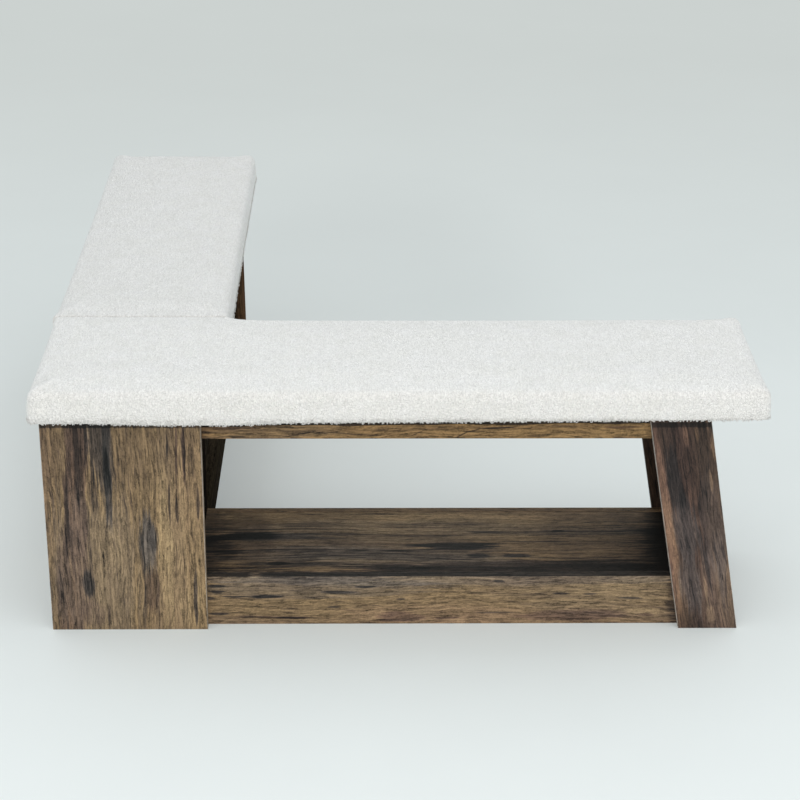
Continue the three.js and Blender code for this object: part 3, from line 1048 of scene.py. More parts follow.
@dataclass
class CornerColumn:
    """The four boards of the corner.

    Attributes:
        seed: Shift of the first board's pattern.
        front_level: Tone of the front panel.
        divider_level: Tone of the two dividers, which are darker. They also take the dark tint that paints
            the shade deep in the bench.
        front_marks: Marks of the front panel, one of them a painted shadow under the pad's lip.
    """

    seed: float = 1.0
    front_level: float = 0.0
    divider_level: float = -0.2
    front_marks: tuple[MarkAndShade, ...] = CORNER_MARKS

    def build(self) -> None:
        """Dresses the panels and dividers."""
        # The front panel's arris of 0.8 paints a highlight along its edges, which also stands for pale raw
        # edges
        print_board(
            "corner_front_panel", Grain.UPRIGHT_FRONT, self.seed,
            level=self.front_level, rust=0.3, soot=0.2, smudges=self.front_marks, arris=0.8, crisp=1.1,
        )
        print_board("corner_side_panel", Grain.UPRIGHT_SIDE, self.seed + 7.0, rust=0.5, soot=0.5)
        # The dividers, deep in the corner, take the dark tint that paints their shade
        for step, (node, grain) in enumerate(
            (("corner_back_divider", Grain.UPRIGHT_FRONT), ("corner_right_divider", Grain.UPRIGHT_SIDE))
        ):
            print_board(
                node, grain, self.seed + 13.0 + step, level=self.divider_level, rust=0.8, soot=0.8,
                stain=PAINTED_SHADE_TINT, gloss=0.0, arris=0.0,
            )


@dataclass
class BenchArm:
    """One arm's frame: rails, aprons, shelf, leg and what carries them.

    Attributes:
        name: The arm's name in the node names.
        leg: The leg's name in the node names.
        sides: Names of its two long sides.
        rail_grain: Grain of its rails and aprons.
        shelf_grain: Grain of its shelf.
        leg_grain: Grain of the leg's two boards.
        end_grain: Grain of the end panel.
        seed: Shift of the first board's pattern.
        marks: Marks of single boards, by node, some of them painted shade and shadows.
        stains: Tint of single boards, by node. The deepest take the dark tint that paints their shade.
        dull: Boards without lacquer or pale edges.
        arrises: Paleness of the edges of single boards, by node: a painted highlight that also stands for
            pale raw edges.
        worn: Share of that paleness on the narrow faces of those boards.
        edges: Shift of the tone on the narrow faces of single boards, by node.
        battens: How many seat battens there are.
    """

    name: str
    leg: str
    sides: tuple[str, str]
    rail_grain: Grain
    shelf_grain: Grain
    leg_grain: Grain
    end_grain: Grain
    seed: float
    marks: Mapping[str, tuple[MarkAndShade, ...]] = field(default_factory=dict)
    stains: Mapping[str, Triple] = field(default_factory=dict)
    dull: tuple[str, ...] = ()
    arrises: Mapping[str, float] = field(default_factory=dict)
    worn: float = 0.8
    edges: Mapping[str, float] = field(default_factory=dict)
    battens: int = 3

    def _print(self, node: str, grain: Grain, step: float, **look: float) -> None:
        """Dresses a board, with its own marks and painted shades, tint and edges where it has them.

        Args:
            node: The board's node.
            grain: How its grain lies.
            step: What is added to the arm's seed.
            **look: The level, rust, soot and crisp of its print.
        """
        if node in self.arrises:
            look.update(arris=self.arrises[node], worn=self.worn)
        if node in self.dull:
            look.update(gloss=0.0, arris=0.0)
        print_board(
            node, grain, self.seed + step, stain=self.stains.get(node, PLAIN_TINT),
            smudges=self.marks.get(node, ()), edge=self.edges.get(node, 0.0), **look,
        )

    def build(self) -> None:
        """Dresses every node of the arm."""
        rail = {"level": 0.045, "rust": 0.5, "soot": 0.3, "crisp": 1.12}
        apron = {"level": 0.13, "rust": 0.3, "soot": 0.3, "crisp": 1.3}
        leg = {"level": -0.3, "rust": 1.0, "soot": 0.2, "crisp": 0.75}
        shelf = {"level": 0.06, "rust": 0.25, "soot": 0.6, "crisp": 1.0}
        end = {"level": -0.2, "rust": 0.7, "soot": 0.6, "crisp": 0.9}
        for step, side in enumerate(self.sides):
            self._print(f"{self.name}_{side}_rail", self.rail_grain, 2.0 + step, **rail)
            self._print(f"{self.name}_{side}_apron", self.rail_grain, 5.0 + step, **apron)
            self._print(f"{self.leg}_{side}_board", self.leg_grain, 8.0 + step, **leg)
        self._print(f"{self.name}_shelf", self.shelf_grain, 11.0, **shelf)
        self._print(f"{self.leg}_end_panel", self.end_grain, 14.0, **end)
        self._carriers()

    def _carriers(self) -> None:
        """Dresses the cleats, the support and the battens in planed softwood."""
        along = RawWood(f"softwood_{self.name}_along", self.rail_grain).material()
        over = RawWood(f"softwood_{self.name}_over", self.shelf_grain).material()
        for side in self.sides:
            dress(f"{self.name}_{side}_shelf_cleat", along)
        dress(f"{self.name}_shelf_support", along)
        for number in range(1, self.battens + 1):
            dress(f"{self.name}_seat_batten_{number}", over)


@dataclass
class Fittings:
    """The steel screws and brackets.

    Attributes:
        words: Parts of the node names that mean a steel fitting.
    """

    words: tuple[str, ...] = ("_screw_", "_bracket")

    def build(self) -> None:
        """Dresses each fitting."""
        steel = ZincSteel("zinc_steel").material()
        for node in sorted(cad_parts):
            if any(word in node for word in self.words):
                dress(node, steel)


def share_of(values: np.ndarray) -> np.ndarray:
    """Values held between 0 and 1."""
    return np.clip(values, 0.0, 1.0)


def carried(points: np.ndarray) -> np.ndarray:
    """How much of the seat's boards lies under a place.

    It is 1 over a board that reaches the seat and falls evenly to nothing beside it.

    Args:
        points: Places, of which the first two parts count.

    Returns:
        Shares from 0 to 1.
    """
    reach, seat_level = 0.007, 0.4
    cover = np.zeros(len(points))
    for node in sorted(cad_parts):
        low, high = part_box(node)
        if seat_level < high.z < seat_level + reach:
            gap = np.maximum(np.array(low)[:2] - points[:, :2], points[:, :2] - np.array(high)[:2])
            distance = np.maximum(gap, 0.0).max(1)
            cover = np.maximum(cover, 1.0 - distance / reach)
    return share_of(cover)


@dataclass
class SeatPad:
    """A foam pad in a fleece cover, with the board that the cover is stapled to.

    Attributes:
        node: The pad's CAD node.
        board: Its board's CAD node.
        seed: Picks the pattern of its loops.
        cell: Size of a cell before it is divided.
        shrink: How much smaller all round it starts than its solid.
        corner_radius: Radius of its corners in plan.
        seam_corner: The same for the corners at the seam.
        side_draw: How far its sides pull in between the corners.
        tuck: How far the lower edge lies inside the widest line.
        lower_radius: Radius of the lower edge.
        edge_row: Height of the low row over that edge.
        shoulder: Inset and drop of the rounded upper edge.
        shoulder_power: Power of the shoulder's curve, where 2 is round.
        crown: Height that the middle stands over the shoulder.
        pocket_inset: Inset of the pocket that the board fills.
        pocket_room: Free room round the board.
        pressure: Air pressure of the simulation.
        frames: Frames of the simulation.
        cloth_quality: Steps of the simulation in each frame.
        cloth_mass: Mass of a point in it, in kilograms.
        most_move: How far a point may move in it.
        free_rise: Height over the underside from which it moves freely.
        divisions: How often its faces are then divided.
        loop_width: Width of a loop.
        loop_height: Height of the loops' relief.
        loop_reach: Radius of a loop, in loop widths.
        loop_push: How far noise pushes the loops about, in loop widths.
        uneven_length: Length of the waves that make the loops uneven.
        slow_length: Length of the slow waves of the whole cover.
        slow_height: Height of those waves.
        under_fade: Share that the loops lose on faces that look straight down.
        lip_drop: How far the free lower edge hangs down, as shares of its length along X with drops.
        lip_rise: Height up the side over which that fades.
        seam_side: The Y side with the seam: -1 is the low side and 1 the high side.
        seam_end: The X up to which that side has the seam.
        seam_fade: Length over which the seam's tight edge turns into the soft one.
        seam_share: How much of the shoulder the tight edge has.
        seam_press: How far the cover reaches over its solid at the seam, where it is pressed flat.
        seam_top: Inset from the seam over which the top's raised edge meets the top.
        seam_reach: Inset over which the side reaches out to the seam.
        tufts: How many tufts hang along the lower edge.
        tuft_size: Least and most radius of a tuft.
        tuft_rows: How far in from the side and how high over the underside they stand.
        tuft_tilt: Least upward part of the cover's normal there, where -1 looks straight down.
        tuft_gap: Room at the seam without tufts, off its side and past its end.
        tuft_sides: Sides of a tuft's ring and of its yarn.
        yarn: Radius of a tuft's yarn.
    """

    node: str
    board: str
    seed: int
    cell: float = 0.008
    shrink: float = 0.0014
    corner_radius: float = 0.018
    seam_corner: float = 0.003
    side_draw: float = 0.0015
    tuck: float = 0.004
    lower_radius: float = 0.0016
    edge_row: float = 0.003
    shoulder: float = 0.019
    shoulder_power: float = 2.3
    crown: float = 0.0025
    pocket_inset: float = 0.0134
    pocket_room: float = 0.0004
    pressure: float = 4.0
    frames: int = 20
    cloth_quality: int = 5
    cloth_mass: float = 0.3
    most_move: float = 0.005
    free_rise: float = 0.034
    divisions: int = 2
    loop_width: float = 0.0042
    loop_height: float = 0.0005
    loop_reach: float = 0.85
    loop_push: float = 1.2
    uneven_length: float = 0.02
    slow_length: float = 0.11
    slow_height: float = 0.0002
    under_fade: float = 0.7
    lip_drop: tuple[tuple[float, float], ...] = (
        (0.0, 0.0058), (0.1, 0.0052), (0.16, 0.0086), (0.27, 0.0092),
        (0.36, 0.0046), (0.5, 0.0034), (1.0, -0.0014),
    )
    lip_rise: float = 0.030
    seam_side: int = 1
    seam_end: float = 1.0
    seam_fade: float = 0.05
    seam_share: float = 0.04
    seam_press: float = 0.00035
    seam_top: float = 0.04
    seam_reach: float = 0.03
    tufts: int = 2200
    tuft_size: tuple[float, float] = (0.0011, 0.0021)
    tuft_rows: tuple[float, float] = (0.010, 0.005)
    tuft_tilt: float = -0.93
    tuft_gap: tuple[float, float] = (0.012, 0.02)
    tuft_sides: tuple[int, int] = (6, 4)
    yarn: float = 0.0006

    def __post_init__(self) -> None:
        """Reads the pad's and the board's boxes from the frame."""
        low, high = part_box(self.node)
        board_low, board_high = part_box(self.board)
        self.middle = np.array((low + high) / 2)
        self.half = np.array((high - low) / 2)[:2] - self.shrink
        self.bottom = low.z
        self.height = high.z - low.z - self.shrink - self.crown - self.loop_height
        self.seam_plane = (low, high)[self.seam_side > 0].y + self.seam_side * self.seam_press
        self.board_half = np.array((board_high - board_low) / 2)[:2]
        self.board_top = board_high.z

    def _off_middle(self, points: np.ndarray) -> np.ndarray:
        """Distances of places from the pad's middle, along X and along Y."""
        return np.abs(points[:, :2] - self.middle[:2])

    def _off_seam(self, points: np.ndarray) -> np.ndarray:
        """How far places lie inside the pad's own side at the seam."""
        return self.seam_side * (self.middle[1] + self.seam_side * self.half[1] - points[:, 1])

    def section(self) -> tuple[np.ndarray, np.ndarray]:
        """Side of the pad, from the rim of the pocket to the edge of the top.

        It runs along the underside, round the lower edge on a quarter circle, up a slightly
        tucked flank and over the shoulder, where the inset and the drop are the shoulder times
        one less the powers of a cosine and of a sine. The flank's inset is the tuck times the power
        2.2 of the share of its height that is left. The lower edge is one short cell with a low row
        over it, and the rest is cut into even lengths.

        Returns:
            The insets and the heights of the rows.
        """
        turn_points = 12
        turn = np.linspace(0.0, math.pi / 2, turn_points)
        lower_inset = self.tuck + self.lower_radius * (1.0 - np.sin(turn))
        lower_height = self.lower_radius * (1.0 - np.cos(turn))
        share = 2.0 / self.shoulder_power
        upper_inset = self.shoulder * (1.0 - np.cos(turn) ** share)
        upper_height = self.height - self.shoulder * (1.0 - np.sin(turn) ** share)
        rise = np.linspace(0.0, 1.0, 10)[1:-1]
        flank_inset = self.tuck * (1.0 - rise) ** 2.2
        flank_height = self.lower_radius + rise * (upper_height[0] - self.lower_radius)
        inset = np.concatenate(([self.pocket_inset], lower_inset, flank_inset, upper_inset))
        height = np.concatenate(([0.0], lower_height, flank_height, upper_height))
        lengths = np.concatenate(([0.0], np.hypot(np.diff(inset), np.diff(height)).cumsum()))
        first = lengths[turn_points] + self.edge_row
        even = np.linspace(first, lengths[-1], round((lengths[-1] - first) / self.cell) + 1)
        cuts = np.concatenate(([0.0, lengths[1], lengths[turn_points]], even))
        return np.interp(cuts, lengths, inset), np.interp(cuts, lengths, height)

    def form(self) -> tuple[np.ndarray, np.ndarray]:
        """The pad before it swells.

        A box of cells is laid over it. Its side rows follow the section. The rows of its top
        are even, and their height is the crown times one less the fourth power of the place
        along, times one less the square of the place across. The underside steps up into the
        pocket. The corners of each outer ring are rounded: the part beyond the corner's centre
        keeps its longer side as its length, which turns a square into a quarter circle. The sides
        pull in by the side draw times one less the square of the place along them.

        Returns:
            The vertex places and the faces.
        """
        insets, heights = self.section()
        top_half = self.half - insets[-1]
        counts = tuple(int(round(2.0 * size / self.cell)) for size in top_half) + (len(insets) - 1,)
        places, faces = box_lattice(counts)
        unit = 2.0 * places[:, :2] / np.array(counts[:2]) - 1.0
        row = places[:, 2]
        depth = np.minimum(places[:, :2], np.array(counts[:2]) - places[:, :2]).min(1)
        on_floor = (row == 0) & (depth > 0)
        inner = 1.0 - 2.0 / np.array(counts[:2])
        unit = np.where(on_floor[:, None], unit / inner, unit)
        half = self.half - insets[row][:, None]
        flat = unit * half
        at_seam = (self.seam_side * flat[:, 1] > 0.0) & (flat[:, 0] + self.middle[0] < self.seam_end)
        corner = np.where(at_seam, self.seam_corner, self.corner_radius)
        radius = np.maximum(corner - insets[row], 0.0)[:, None]
        beyond = np.maximum(np.abs(flat) - (half - radius), 0.0)
        length = np.hypot(beyond[:, 0], beyond[:, 1])
        keep = np.where(length > 0.0, beyond.max(1) / np.maximum(length, 1e-9), 1.0)
        rounded = np.sign(flat) * (np.abs(flat) - beyond + beyond * keep[:, None])
        flat = np.where((depth == 0)[:, None], rounded, flat)
        on_side = np.abs(unit) > 0.999
        draw = self.side_draw * (1.0 - unit[:, ::-1] ** 2) * on_side
        flat = flat - np.sign(flat) * np.where((row == 0)[:, None], 0.0, draw)
        span = np.abs(flat) / top_half
        along = int(np.argmax(self.half))
        lift = np.maximum(1.0 - span[:, along] ** 4, 0.0) * np.maximum(1.0 - span[:, 1 - along] ** 2, 0.0)
        level = heights[row] + np.where(row == len(insets) - 1, self.crown * lift, 0.0)
        ceiling = self.board_top - self.bottom + self.pocket_room
        level = np.where(on_floor, ceiling, level)
        points = np.column_stack((flat, level))
        points[:, :2] += self.middle[:2]
        points = self._tighten(points)
        rim = on_floor | ((row == 0) & (depth == 0))
        points[:, 2] += self.bottom - np.where(rim, 0.0, self._hang(points))
        return points, faces

    def _tighten(self, points: np.ndarray) -> np.ndarray:
        """Gives the side with the seam a tighter edge.

        Near that side a point's distance to it, and its drop under the top, each shrink to the
        seam's share at nothing and to their full length at the shoulder. The side is also moved
        out to the plane of the seam. That fades away from the seam and, over the shoulder's
        height, towards the underside.

        Args:
            points: The vertex places, with the height from the pad's underside.

        Returns:
            The new places.
        """
        moved = points.copy()
        inside = self._off_seam(points)
        drop = self.height - points[:, 2]
        fade = share_of((self.seam_end + self.seam_fade - points[:, 0]) / self.seam_fade)
        near = share_of(inside / self.shoulder)
        low = share_of(drop / self.shoulder)
        slack = 1.0 - self.seam_share
        closer = fade * slack * (1.0 - near) * (drop < self.shoulder) * (points[:, 2] > self.shoulder)
        moved[:, 1] += self.seam_side * inside * closer
        top = share_of(1.0 - inside / self.seam_top)
        moved[:, 2] += np.maximum(drop, 0.0) * fade * slack * (1.0 - low) * top
        side = share_of(1.0 - inside / self.seam_reach)
        reach = (self.shrink + self.side_draw + self.seam_press) * side
        moved[:, 1] += self.seam_side * reach * fade * share_of(points[:, 2] / self.shoulder)
        return moved

    def _hang(self, points: np.ndarray) -> np.ndarray:
        """How far each point hangs down, where no board carries the pad.

        The drop changes evenly between its listed places, fades up the side with the power 1.5 of
        the height left, and is nothing over a board and close beside it.

        Args:
            points: The vertex places, with the height from the pad's underside.

        Returns:
            The drops.
        """
        low, high = self.middle[0] - self.half[0], self.middle[0] + self.half[0]
        share = share_of((points[:, 0] - low) / (high - low))
        drop = np.interp(share, *np.array(self.lip_drop).T)
        fade = share_of(1.0 - points[:, 2] / self.lip_rise) ** 1.5
        return drop * fade * (1.0 - carried(points))

    def swell(self, pad: bpy.types.Object) -> None:
        """Blows the cover up a little with a short cloth simulation, with its underside held.

        A point's move is limited to the cap times the hyperbolic tangent of its length in caps. It
        grows from nothing at the underside as three times the square of the height's share less
        twice its cube. Its Y and Z parts grow from nothing at the seam, where the pads press on
        each other.

        Args:
            pad: The pad, whose mesh takes the result.
        """
        start = read_points(pad.data)
        ceiling_reach = 0.002
        held = pad.vertex_groups.new(name="held")
        low = np.nonzero(start[:, 2] < self.bottom + self.lower_radius * 0.5)[0]
        inside = self._off_middle(start) < self.half - self.pocket_inset + 1e-4
        pocket = np.nonzero(inside.all(1) & (start[:, 2] < self.board_top + ceiling_reach))[0]
        held.add([int(number) for number in np.union1d(low, pocket)], 1.0, "REPLACE")
        cloth = pad.modifiers.new("swell", "CLOTH")
        cloth.settings.quality = self.cloth_quality
        cloth.settings.mass = self.cloth_mass
        cloth.settings.use_pressure = True
        cloth.settings.uniform_pressure_force = self.pressure
        cloth.settings.effector_weights.gravity = 0.0
        cloth.settings.vertex_group_mass = held.name
        cloth.point_cache.frame_end = self.frames
        for number in range(1, self.frames + 1):
            bpy.context.scene.frame_set(number)
        swollen = pad.evaluated_get(bpy.context.evaluated_depsgraph_get())
        end = read_points(swollen.data)
        pad.modifiers.remove(cloth)
        bpy.context.scene.frame_set(1)
        move = end - start
        length = np.linalg.norm(move, axis=1, keepdims=True)
        short = self.most_move * np.tanh(length / self.most_move) / np.maximum(length, 1e-9)
        rise = share_of((start[:, 2:] - self.bottom) / self.free_rise)
        short = short * rise * rise * (3.0 - 2.0 * rise)
        inside = self.seam_side * (self.seam_plane - start[:, 1:2])
        calm = np.where(start[:, :1] < self.seam_end, share_of(inside / self.free_rise), 1.0)
        short = short * np.where(np.array([True, False, False]), 1.0, calm)
        write_points(pad.data, start + move * short)
        pad.vertex_groups.clear()
        LOG.info("%s swelled by %.1f mm at most", pad.name, 1000.0 * float((length * short).max()))

    def divide(self, pad: bpy.types.Object) -> None:
        """Divides the pad's faces, flattens the pocket's ceiling and closes it with one face.

        Args:
            pad: The pad.
        """
        divided = pad.modifiers.new("divide", "SUBSURF")
        divided.levels = self.divisions
        divided.render_levels = self.divisions
        mesh = bpy.data.meshes.new_from_object(pad.evaluated_get(bpy.context.evaluated_depsgraph_get()))
        pad.modifiers.remove(divided)
        pad.data = mesh
        points = read_points(mesh)
        level = self.board_top + self.pocket_room
        reach = 0.004
        in_pocket = (self._off_middle(points) < self.board_half + self.pocket_room + reach).all(1)
        in_pocket &= np.abs(points[:, 2] - self.board_top) < reach
        points[in_pocket, 2] = level
        write_points(mesh, points)
        bm = bmesh.new()
        bm.from_mesh(mesh)
        bm.verts.ensure_lookup_table()
        inner = [
            face for face in bm.faces
            if face.normal.z < -0.999 and abs(face.calc_center_median().z - level) < 1e-5
        ]
        bmesh.ops.delete(bm, geom=inner, context="FACES")
        rim = [edge for edge in bm.edges if edge.is_boundary]
        bmesh.ops.holes_fill(bm, edges=rim, sides=0)
        bmesh.ops.recalc_face_normals(bm, faces=bm.faces)
        bm.to_mesh(mesh)
        bm.free()

    def loops(self, pad: bpy.types.Object) -> None:
        """Raises the loops of the fleece out of the pad's faces.

        The relief is one less the square of the distance to the nearest seed, in cells that are
        one loop wide, after noise has pushed the places about. Slower noise makes it uneven. It
        fades on faces that look down and is left out of the pocket. Points past the plane of the
        seam are pressed back onto it.

        Args:
            pad: The pad.
        """
        points = read_points(pad.data)
        normals = read_normals(pad.data)
        scaled = points / self.loop_width
        push = np.stack([cloud(scaled * 0.7 + 5.0 * part, self.seed + part) for part in range(3)], -1)
        gap = nearest_seed(scaled + (push - 0.5) * self.loop_push, self.seed + 11)
        lump = np.maximum(1.0 - (gap / self.loop_reach) ** 2, 0.0)
        uneven = cloud(points / self.uneven_length, self.seed + 21)
        slow = cloud(points / self.slow_length, self.seed + 31) - 0.5
        height = self.loop_height * lump * (0.8 + 0.25 * uneven) + self.slow_height * slow
        side_reach, ceiling_reach = 0.002, 0.003
        in_pocket = (self._off_middle(points) < self.half - self.pocket_inset + side_reach).all(1)
        in_pocket &= points[:, 2] < self.board_top + ceiling_reach
        free = np.where(in_pocket, 0.0, 1.0 - self.under_fade * np.maximum(-normals[:, 2], 0.0))
        raised = points + normals * (height * free)[:, None]
        pressed = np.minimum(self.seam_side * raised[:, 1], self.seam_side * self.seam_plane)
        at_seam = raised[:, 0] < self.seam_end + self.seam_fade
        raised[:, 1] = np.where(at_seam, self.seam_side * pressed, raised[:, 1])
        write_points(pad.data, raised)

    def _roots(self, points: np.ndarray, normals: np.ndarray) -> np.ndarray:
        """Picks the vertices that tufts stand on.

        They lie near the outside, low on the side, where the cover doesn't look straight down,
        and not at the seam. Random numbers that belong to the vertices pick the wanted count.

        Args:
            points: The cover's vertex places.
            normals: Its vertex normals.

        Returns:
            The vertices' numbers, in rising order.
        """
        inset, rise = self.tuft_rows
        off_side, past_end = self.tuft_gap
        outside = (self._off_middle(points) > self.half - inset).any(1)
        at_seam = (self._off_seam(points) < off_side) & (points[:, 0] < self.seam_end + past_end)
        low = (points[:, 2] - self.bottom < rise) & (normals[:, 2] > self.tuft_tilt)
        found = np.nonzero(outside & low & ~at_seam)[0]
        tags = np.column_stack((found, found * 3, found * 7))
        order = np.argsort(lattice_random(tags, self.seed + 41))
        return np.sort(found[order[: self.tufts]])

    def fringe(self, pad: bpy.types.Object) -> bpy.types.Object:
        """Makes the tufts along the pad's lower edge.

        Each is a small ring of yarn that stands on the cover. Its points are the ring's centre,
        plus the ring's radius times a turning direction, plus the yarn's radius times a second
        turning direction. The ring's plane holds the cover's normal and a random direction.

        Args:
            pad: The finished pad.

        Returns:
            The tufts as one object.
        """
        points = read_points(pad.data)
        normals = read_normals(pad.data)
        chosen = self._roots(points, normals)
        tags = np.column_stack((chosen, chosen + 5, chosen + 11))
        size, turn, tip, slip = (lattice_random(tags, self.seed + 51 + part) for part in range(4))
        least, most = self.tuft_size
        radius = least + (most - least) * size ** 2
        out = normals[chosen]
        any_way = np.column_stack((np.cos(turn * math.tau), np.sin(turn * math.tau), 2.0 * tip - 1.0))
        side = np.cross(out, any_way)
        side /= np.linalg.norm(side, axis=1, keepdims=True)
        third = np.cross(out, side)
        centre = points[chosen] + out * (radius * (0.15 + 0.5 * slip))[:, None]
        ring_sides, yarn_sides = self.tuft_sides
        around = np.arange(ring_sides) * (math.tau / ring_sides)
        about = np.arange(yarn_sides) * (math.tau / yarn_sides)
        swing = (
            out[:, None, :] * np.cos(around)[None, :, None]
            + side[:, None, :] * np.sin(around)[None, :, None]
        )
        spoke = centre[:, None, :] + swing * radius[:, None, None]
        thick = (
            swing[:, :, None, :] * np.cos(about)[None, None, :, None]
            + third[:, None, None, :] * np.sin(about)[None, None, :, None]
        )
        rings = spoke[:, :, None, :] + thick * self.yarn
        tuft, step, part = np.indices((len(chosen), ring_sides, yarn_sides))
        after, beside = (step + 1) % ring_sides, (part + 1) % yarn_sides
        corners = ((step, part), (step, beside), (after, beside), (after, part))
        numbers = [(tuft * ring_sides + ring) * yarn_sides + yarn for ring, yarn in corners]
        faces = np.stack(numbers, -1).reshape(-1, 4)
        return make_object(f"{self.node}_tufts", rings.reshape(-1, 3), faces)

    def build(self, finish: LoopedFleece) -> None:
        """Builds the pad and dresses it and its board.

        Args:
            finish: The cover's finish.
        """
        pad = make_object(f"{self.node}_cover", *self.form())
        self.swell(pad)
        self.divide(pad)
        self.loops(pad)
        pad.data.polygons.foreach_set("use_smooth", np.ones(len(pad.data.polygons), dtype=bool))
        fleece = finish.material()
        pad.data.materials.append(fleece)
        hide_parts(self.node)
        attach(pad, ROOT_BODY)
        tufts = self.fringe(pad)
        tufts.data.materials.append(fleece)
        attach(tufts, ROOT_BODY)
        dress(self.board, Plywood(f"plywood_{self.board}").material())
        LOG.info("built %s with %d faces", pad.name, len(pad.data.polygons))


# Studio


@dataclass(frozen=True)
class Lamp:
    """A soft rectangular lamp.

    Attributes:
        name: Its name.
        place: Where it hangs.
        aim: The place that it faces.
        size: Its two sides.
        power: Its power in watts.
        tint: Factors on red, green and blue.
    """

    name: str
    place: Triple
    aim: Triple
    size: tuple[float, float]
    power: float
    tint: Triple

    def hang(self) -> None:
        """Makes the lamp."""
        data = bpy.data.lights.new(self.name, "AREA")
        data.shape = "RECTANGLE"
        data.size, data.size_y = self.size
        data.energy = self.power
        data.color = self.tint
        lamp = put_in_scene(self.name, data)
        lamp.location = self.place
        direction = Vector(self.aim) - Vector(self.place)
        lamp.rotation_euler = direction.to_track_quat("-Z", "Y").to_euler()
        LOG.info("hung %s", self.name)


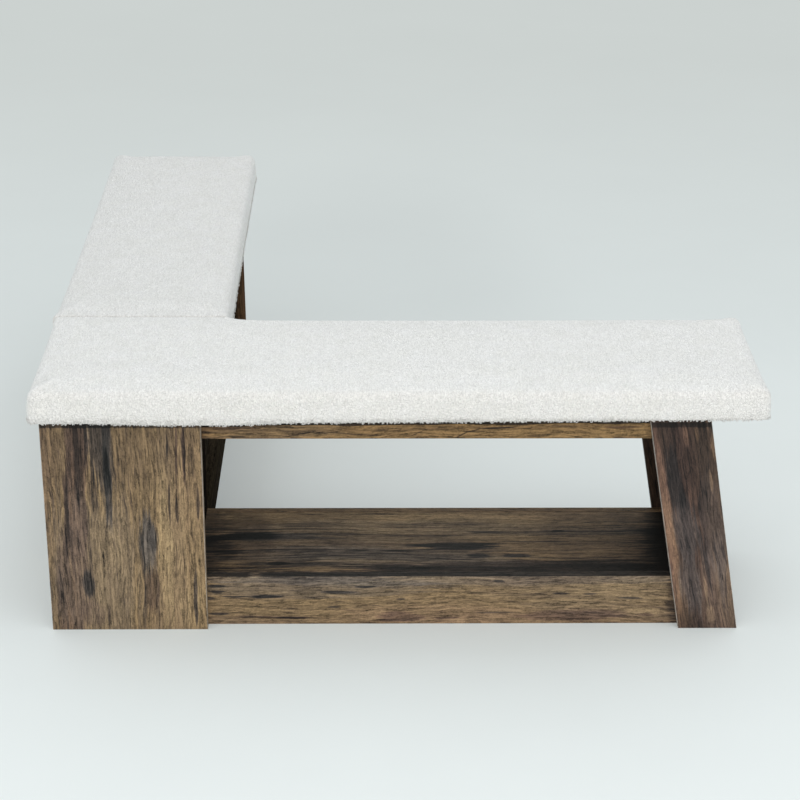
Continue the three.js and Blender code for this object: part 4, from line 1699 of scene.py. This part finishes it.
@dataclass
class Studio:
    """Camera, floor, lamps and pale surroundings.

    Attributes:
        camera_place: Place of the camera.
        yaw: Turn of the camera from the Y direction towards X, in degrees.
        pitch: How far it looks down, in degrees.
        roll: Its turn about its own axis, in degrees.
        lens: Focal length in millimetres, for the sensor width.
        sensor: Sensor width in millimetres.
        floor_half: Half the floor's side.
        floor_near: Floor colour in front of the bench.
        floor_far: Floor colour behind it.
        nook_middle: X and Y of the middle of the soft shade between the arms.
        nook_size: Its half sizes along X and Y.
        nook_shade: How much darker the floor is there.
        pale_near: What the camera sees of the floor's own glow in front.
        pale_far: The same behind the bench.
        world_light: Strength of the surroundings' light.
        world_tint: Its colour.
        lamps: The soft lamps.
    """

    camera_place: Triple = (-0.04666, -3.83752, 1.85377)
    yaw: float = 0.849
    pitch: float = 23.903
    roll: float = 0.292
    lens: float = 94.416
    sensor: float = 36.0
    floor_half: float = 30.0
    floor_near: Colour = paint(235, 241, 241)
    floor_far: Colour = paint(218, 224, 223)
    nook_middle: tuple[float, float] = (-0.1, 0.9)
    nook_size: tuple[float, float] = (0.5, 1.0)
    nook_shade: float = 0.06
    pale_near: Colour = paint(228, 234, 234)
    pale_far: Colour = paint(204, 210, 208)
    world_light: float = 0.98
    world_tint: Colour = paint(246, 249, 250)
    lamps: tuple[Lamp, ...] = (
        Lamp("top_lamp", (0.2, -1.4, 2.4), (0.0, -0.4, 0.4), (2.6, 2.2), 9.0, (1.0, 0.98, 0.96)),
        Lamp("front_lamp", (0.1, -4.4, 1.1), (0.0, 0.0, 0.3), (3.4, 1.6), 27.0, (1.0, 0.93, 0.84)),
    )

    def place_camera(self) -> None:
        """Makes the camera from its place and turns."""
        yaw, pitch, roll = (math.radians(turn) for turn in (self.yaw, self.pitch, self.roll))
        forward = Vector((
            math.sin(yaw) * math.cos(pitch),
            math.cos(yaw) * math.cos(pitch),
            -math.sin(pitch),
        ))
        right = Vector((math.cos(yaw), -math.sin(yaw), 0.0))
        up = right.cross(forward)
        turned_right = math.cos(roll) * right + math.sin(roll) * up
        turned_up = math.cos(roll) * up - math.sin(roll) * right
        data = bpy.data.cameras.new("camera")
        data.lens = self.lens
        data.sensor_width = self.sensor
        data.sensor_fit = "HORIZONTAL"
        data.clip_end = 100.0
        camera = put_in_scene("camera", data)
        basis = Matrix((turned_right, turned_up, -forward)).transposed()
        camera.matrix_world = Matrix.Translation(self.camera_place) @ basis.to_4x4()
        bpy.context.scene.camera = camera
        LOG.info("placed the camera")

    def lay_floor(self) -> None:
        """Makes the floor, a flat grid whose colour fades with the distance behind the bench."""
        half = self.floor_half
        points = np.array([[-half, -half, 0.0], [half, -half, 0.0], [half, half, 0.0], [-half, half, 0.0]])
        floor = make_object("floor", points, np.array([[0, 1, 2, 3]]))
        tree = ShaderTree("floor")
        place = tree.object_place()
        behind = tree.node("ShaderNodeSeparateXYZ", None, {0: place}, output="Y")
        sideways = (behind.part("X") - self.nook_middle[0]) / self.nook_size[0]
        inwards = (behind - self.nook_middle[1]) / self.nook_size[1]
        # Painted shade on the floor between the arms: the nook factor darkens the floor's colour and its
        # glow there
        nook = 1.0 - ((sideways * sideways + inwards * inwards) ** 0.5).rise(1.3, 0.5) * self.nook_shade
        colour = tree.blend(behind.rise(-1.4, 1.6), self.floor_near, self.floor_far)
        clouds = tree.noise(place, (2.2, 2.2, 2.2), 4.0, 4.0, 0.6)
        colour = tree.blend(1.0, colour, (0.97 + clouds * 0.06) * nook, "MULTIPLY")
        material = tree.finish(colour, 0.6, clouds, 0.0005, {"Specular IOR Level": 0.2})
        pale = tree.blend(behind.rise(-2.4, 3.4), self.pale_near, self.pale_far)
        pale = tree.blend(1.0, pale, (0.985 + clouds * 0.03) * nook, "MULTIPLY")
        glow = tree.node("ShaderNodeEmission", None, {"Color": pale, "Strength": 1.0})
        share = 0.2 + 0.8 * behind.rise(0.4, 3.6).at_least(behind.rise(-2.4, -4.0))
        shaders = {0: tree.seen() * share, 1: Term(tree, tree.shader.outputs[0]), 2: glow}
        mixed = tree.node("ShaderNodeMixShader", None, shaders)
        tree.links.new(mixed.socket, tree.output.inputs["Surface"])
        floor.data.materials.append(material)
        LOG.info("laid the floor")

    def surround(self) -> None:
        """Sets the pale surroundings: seen at full strength, and dimmer as a light."""
        world = bpy.data.worlds.new("world")
        tree = NodeTree(world)
        light = {"Color": self.world_tint, "Strength": self.world_light}
        glow = tree.node("ShaderNodeBackground", None, light)
        shown = tree.node("ShaderNodeBackground", None, {"Color": self.pale_far})
        mixed = tree.node("ShaderNodeMixShader", None, {0: tree.seen(), 1: glow, 2: shown})
        output = tree.nodes.new("ShaderNodeOutputWorld")
        tree.links.new(mixed.socket, output.inputs["Surface"])
        bpy.context.scene.world = world
        bpy.context.scene.view_settings.view_transform = "Standard"

    def build(self) -> None:
        """Builds the whole studio but its camera."""
        self.lay_floor()
        for lamp in self.lamps:
            lamp.hang()
        self.surround()


def main() -> None:
    """Builds the studio and the bench in order."""
    logging.basicConfig(level=logging.INFO, format="%(name)s: %(message)s")
    studio = Studio()
    studio.place_camera()
    CornerColumn().build()
    # The right leg's front board has an arris of 0.75: a painted highlight along its edges, which also
    # stands for pale raw edges
    BenchArm(
        "front_arm", "right_leg", ("front", "rear"), Grain.RAIL_FRONT, Grain.SHELF_FRONT,
        Grain.LEG_FRONT, Grain.END_FRONT, seed=21.0, marks=FRONT_MARKS, stains=FRONT_TINTS,
        # The front rail's narrow faces are darkened: an edge band, with painted shade on its top face under
        # the seat
        arrises={"right_leg_front_board": 0.75}, edges={"front_arm_front_rail": -0.5},
    ).build()
    BenchArm(
        "left_arm", "far_leg", ("inner", "outer"), Grain.RAIL_SIDE, Grain.SHELF_SIDE,
        Grain.LEG_SIDE, Grain.END_SIDE, seed=47.0, stains=LEFT_TINTS,
        dull=("left_arm_inner_rail", "left_arm_inner_apron", "left_arm_shelf", "far_leg_inner_board"),
    ).build()
    Fittings().build()
    _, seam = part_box("left_seat_pad")
    front_pad = SeatPad(
        "front_seat_pad", "front_seat_pad_board", 3, seam_side=1, seam_end=seam.x, seam_share=0.3,
    )
    front_pad.build(LoopedFleece("front_pad_fleece", white=1.0))
    left_pad = SeatPad("left_seat_pad", "left_seat_pad_board", 17, seam_side=-1, seam_end=seam.x)
    # The left pad's fleece is painted 4.5 percent darker than the front pad's, as shade
    left_pad.build(LoopedFleece("left_pad_fleece_painted_shade", white=0.955))
    studio.build()
    LOG.info("wrote the boxes")


if __name__ == "__main__":
    main()
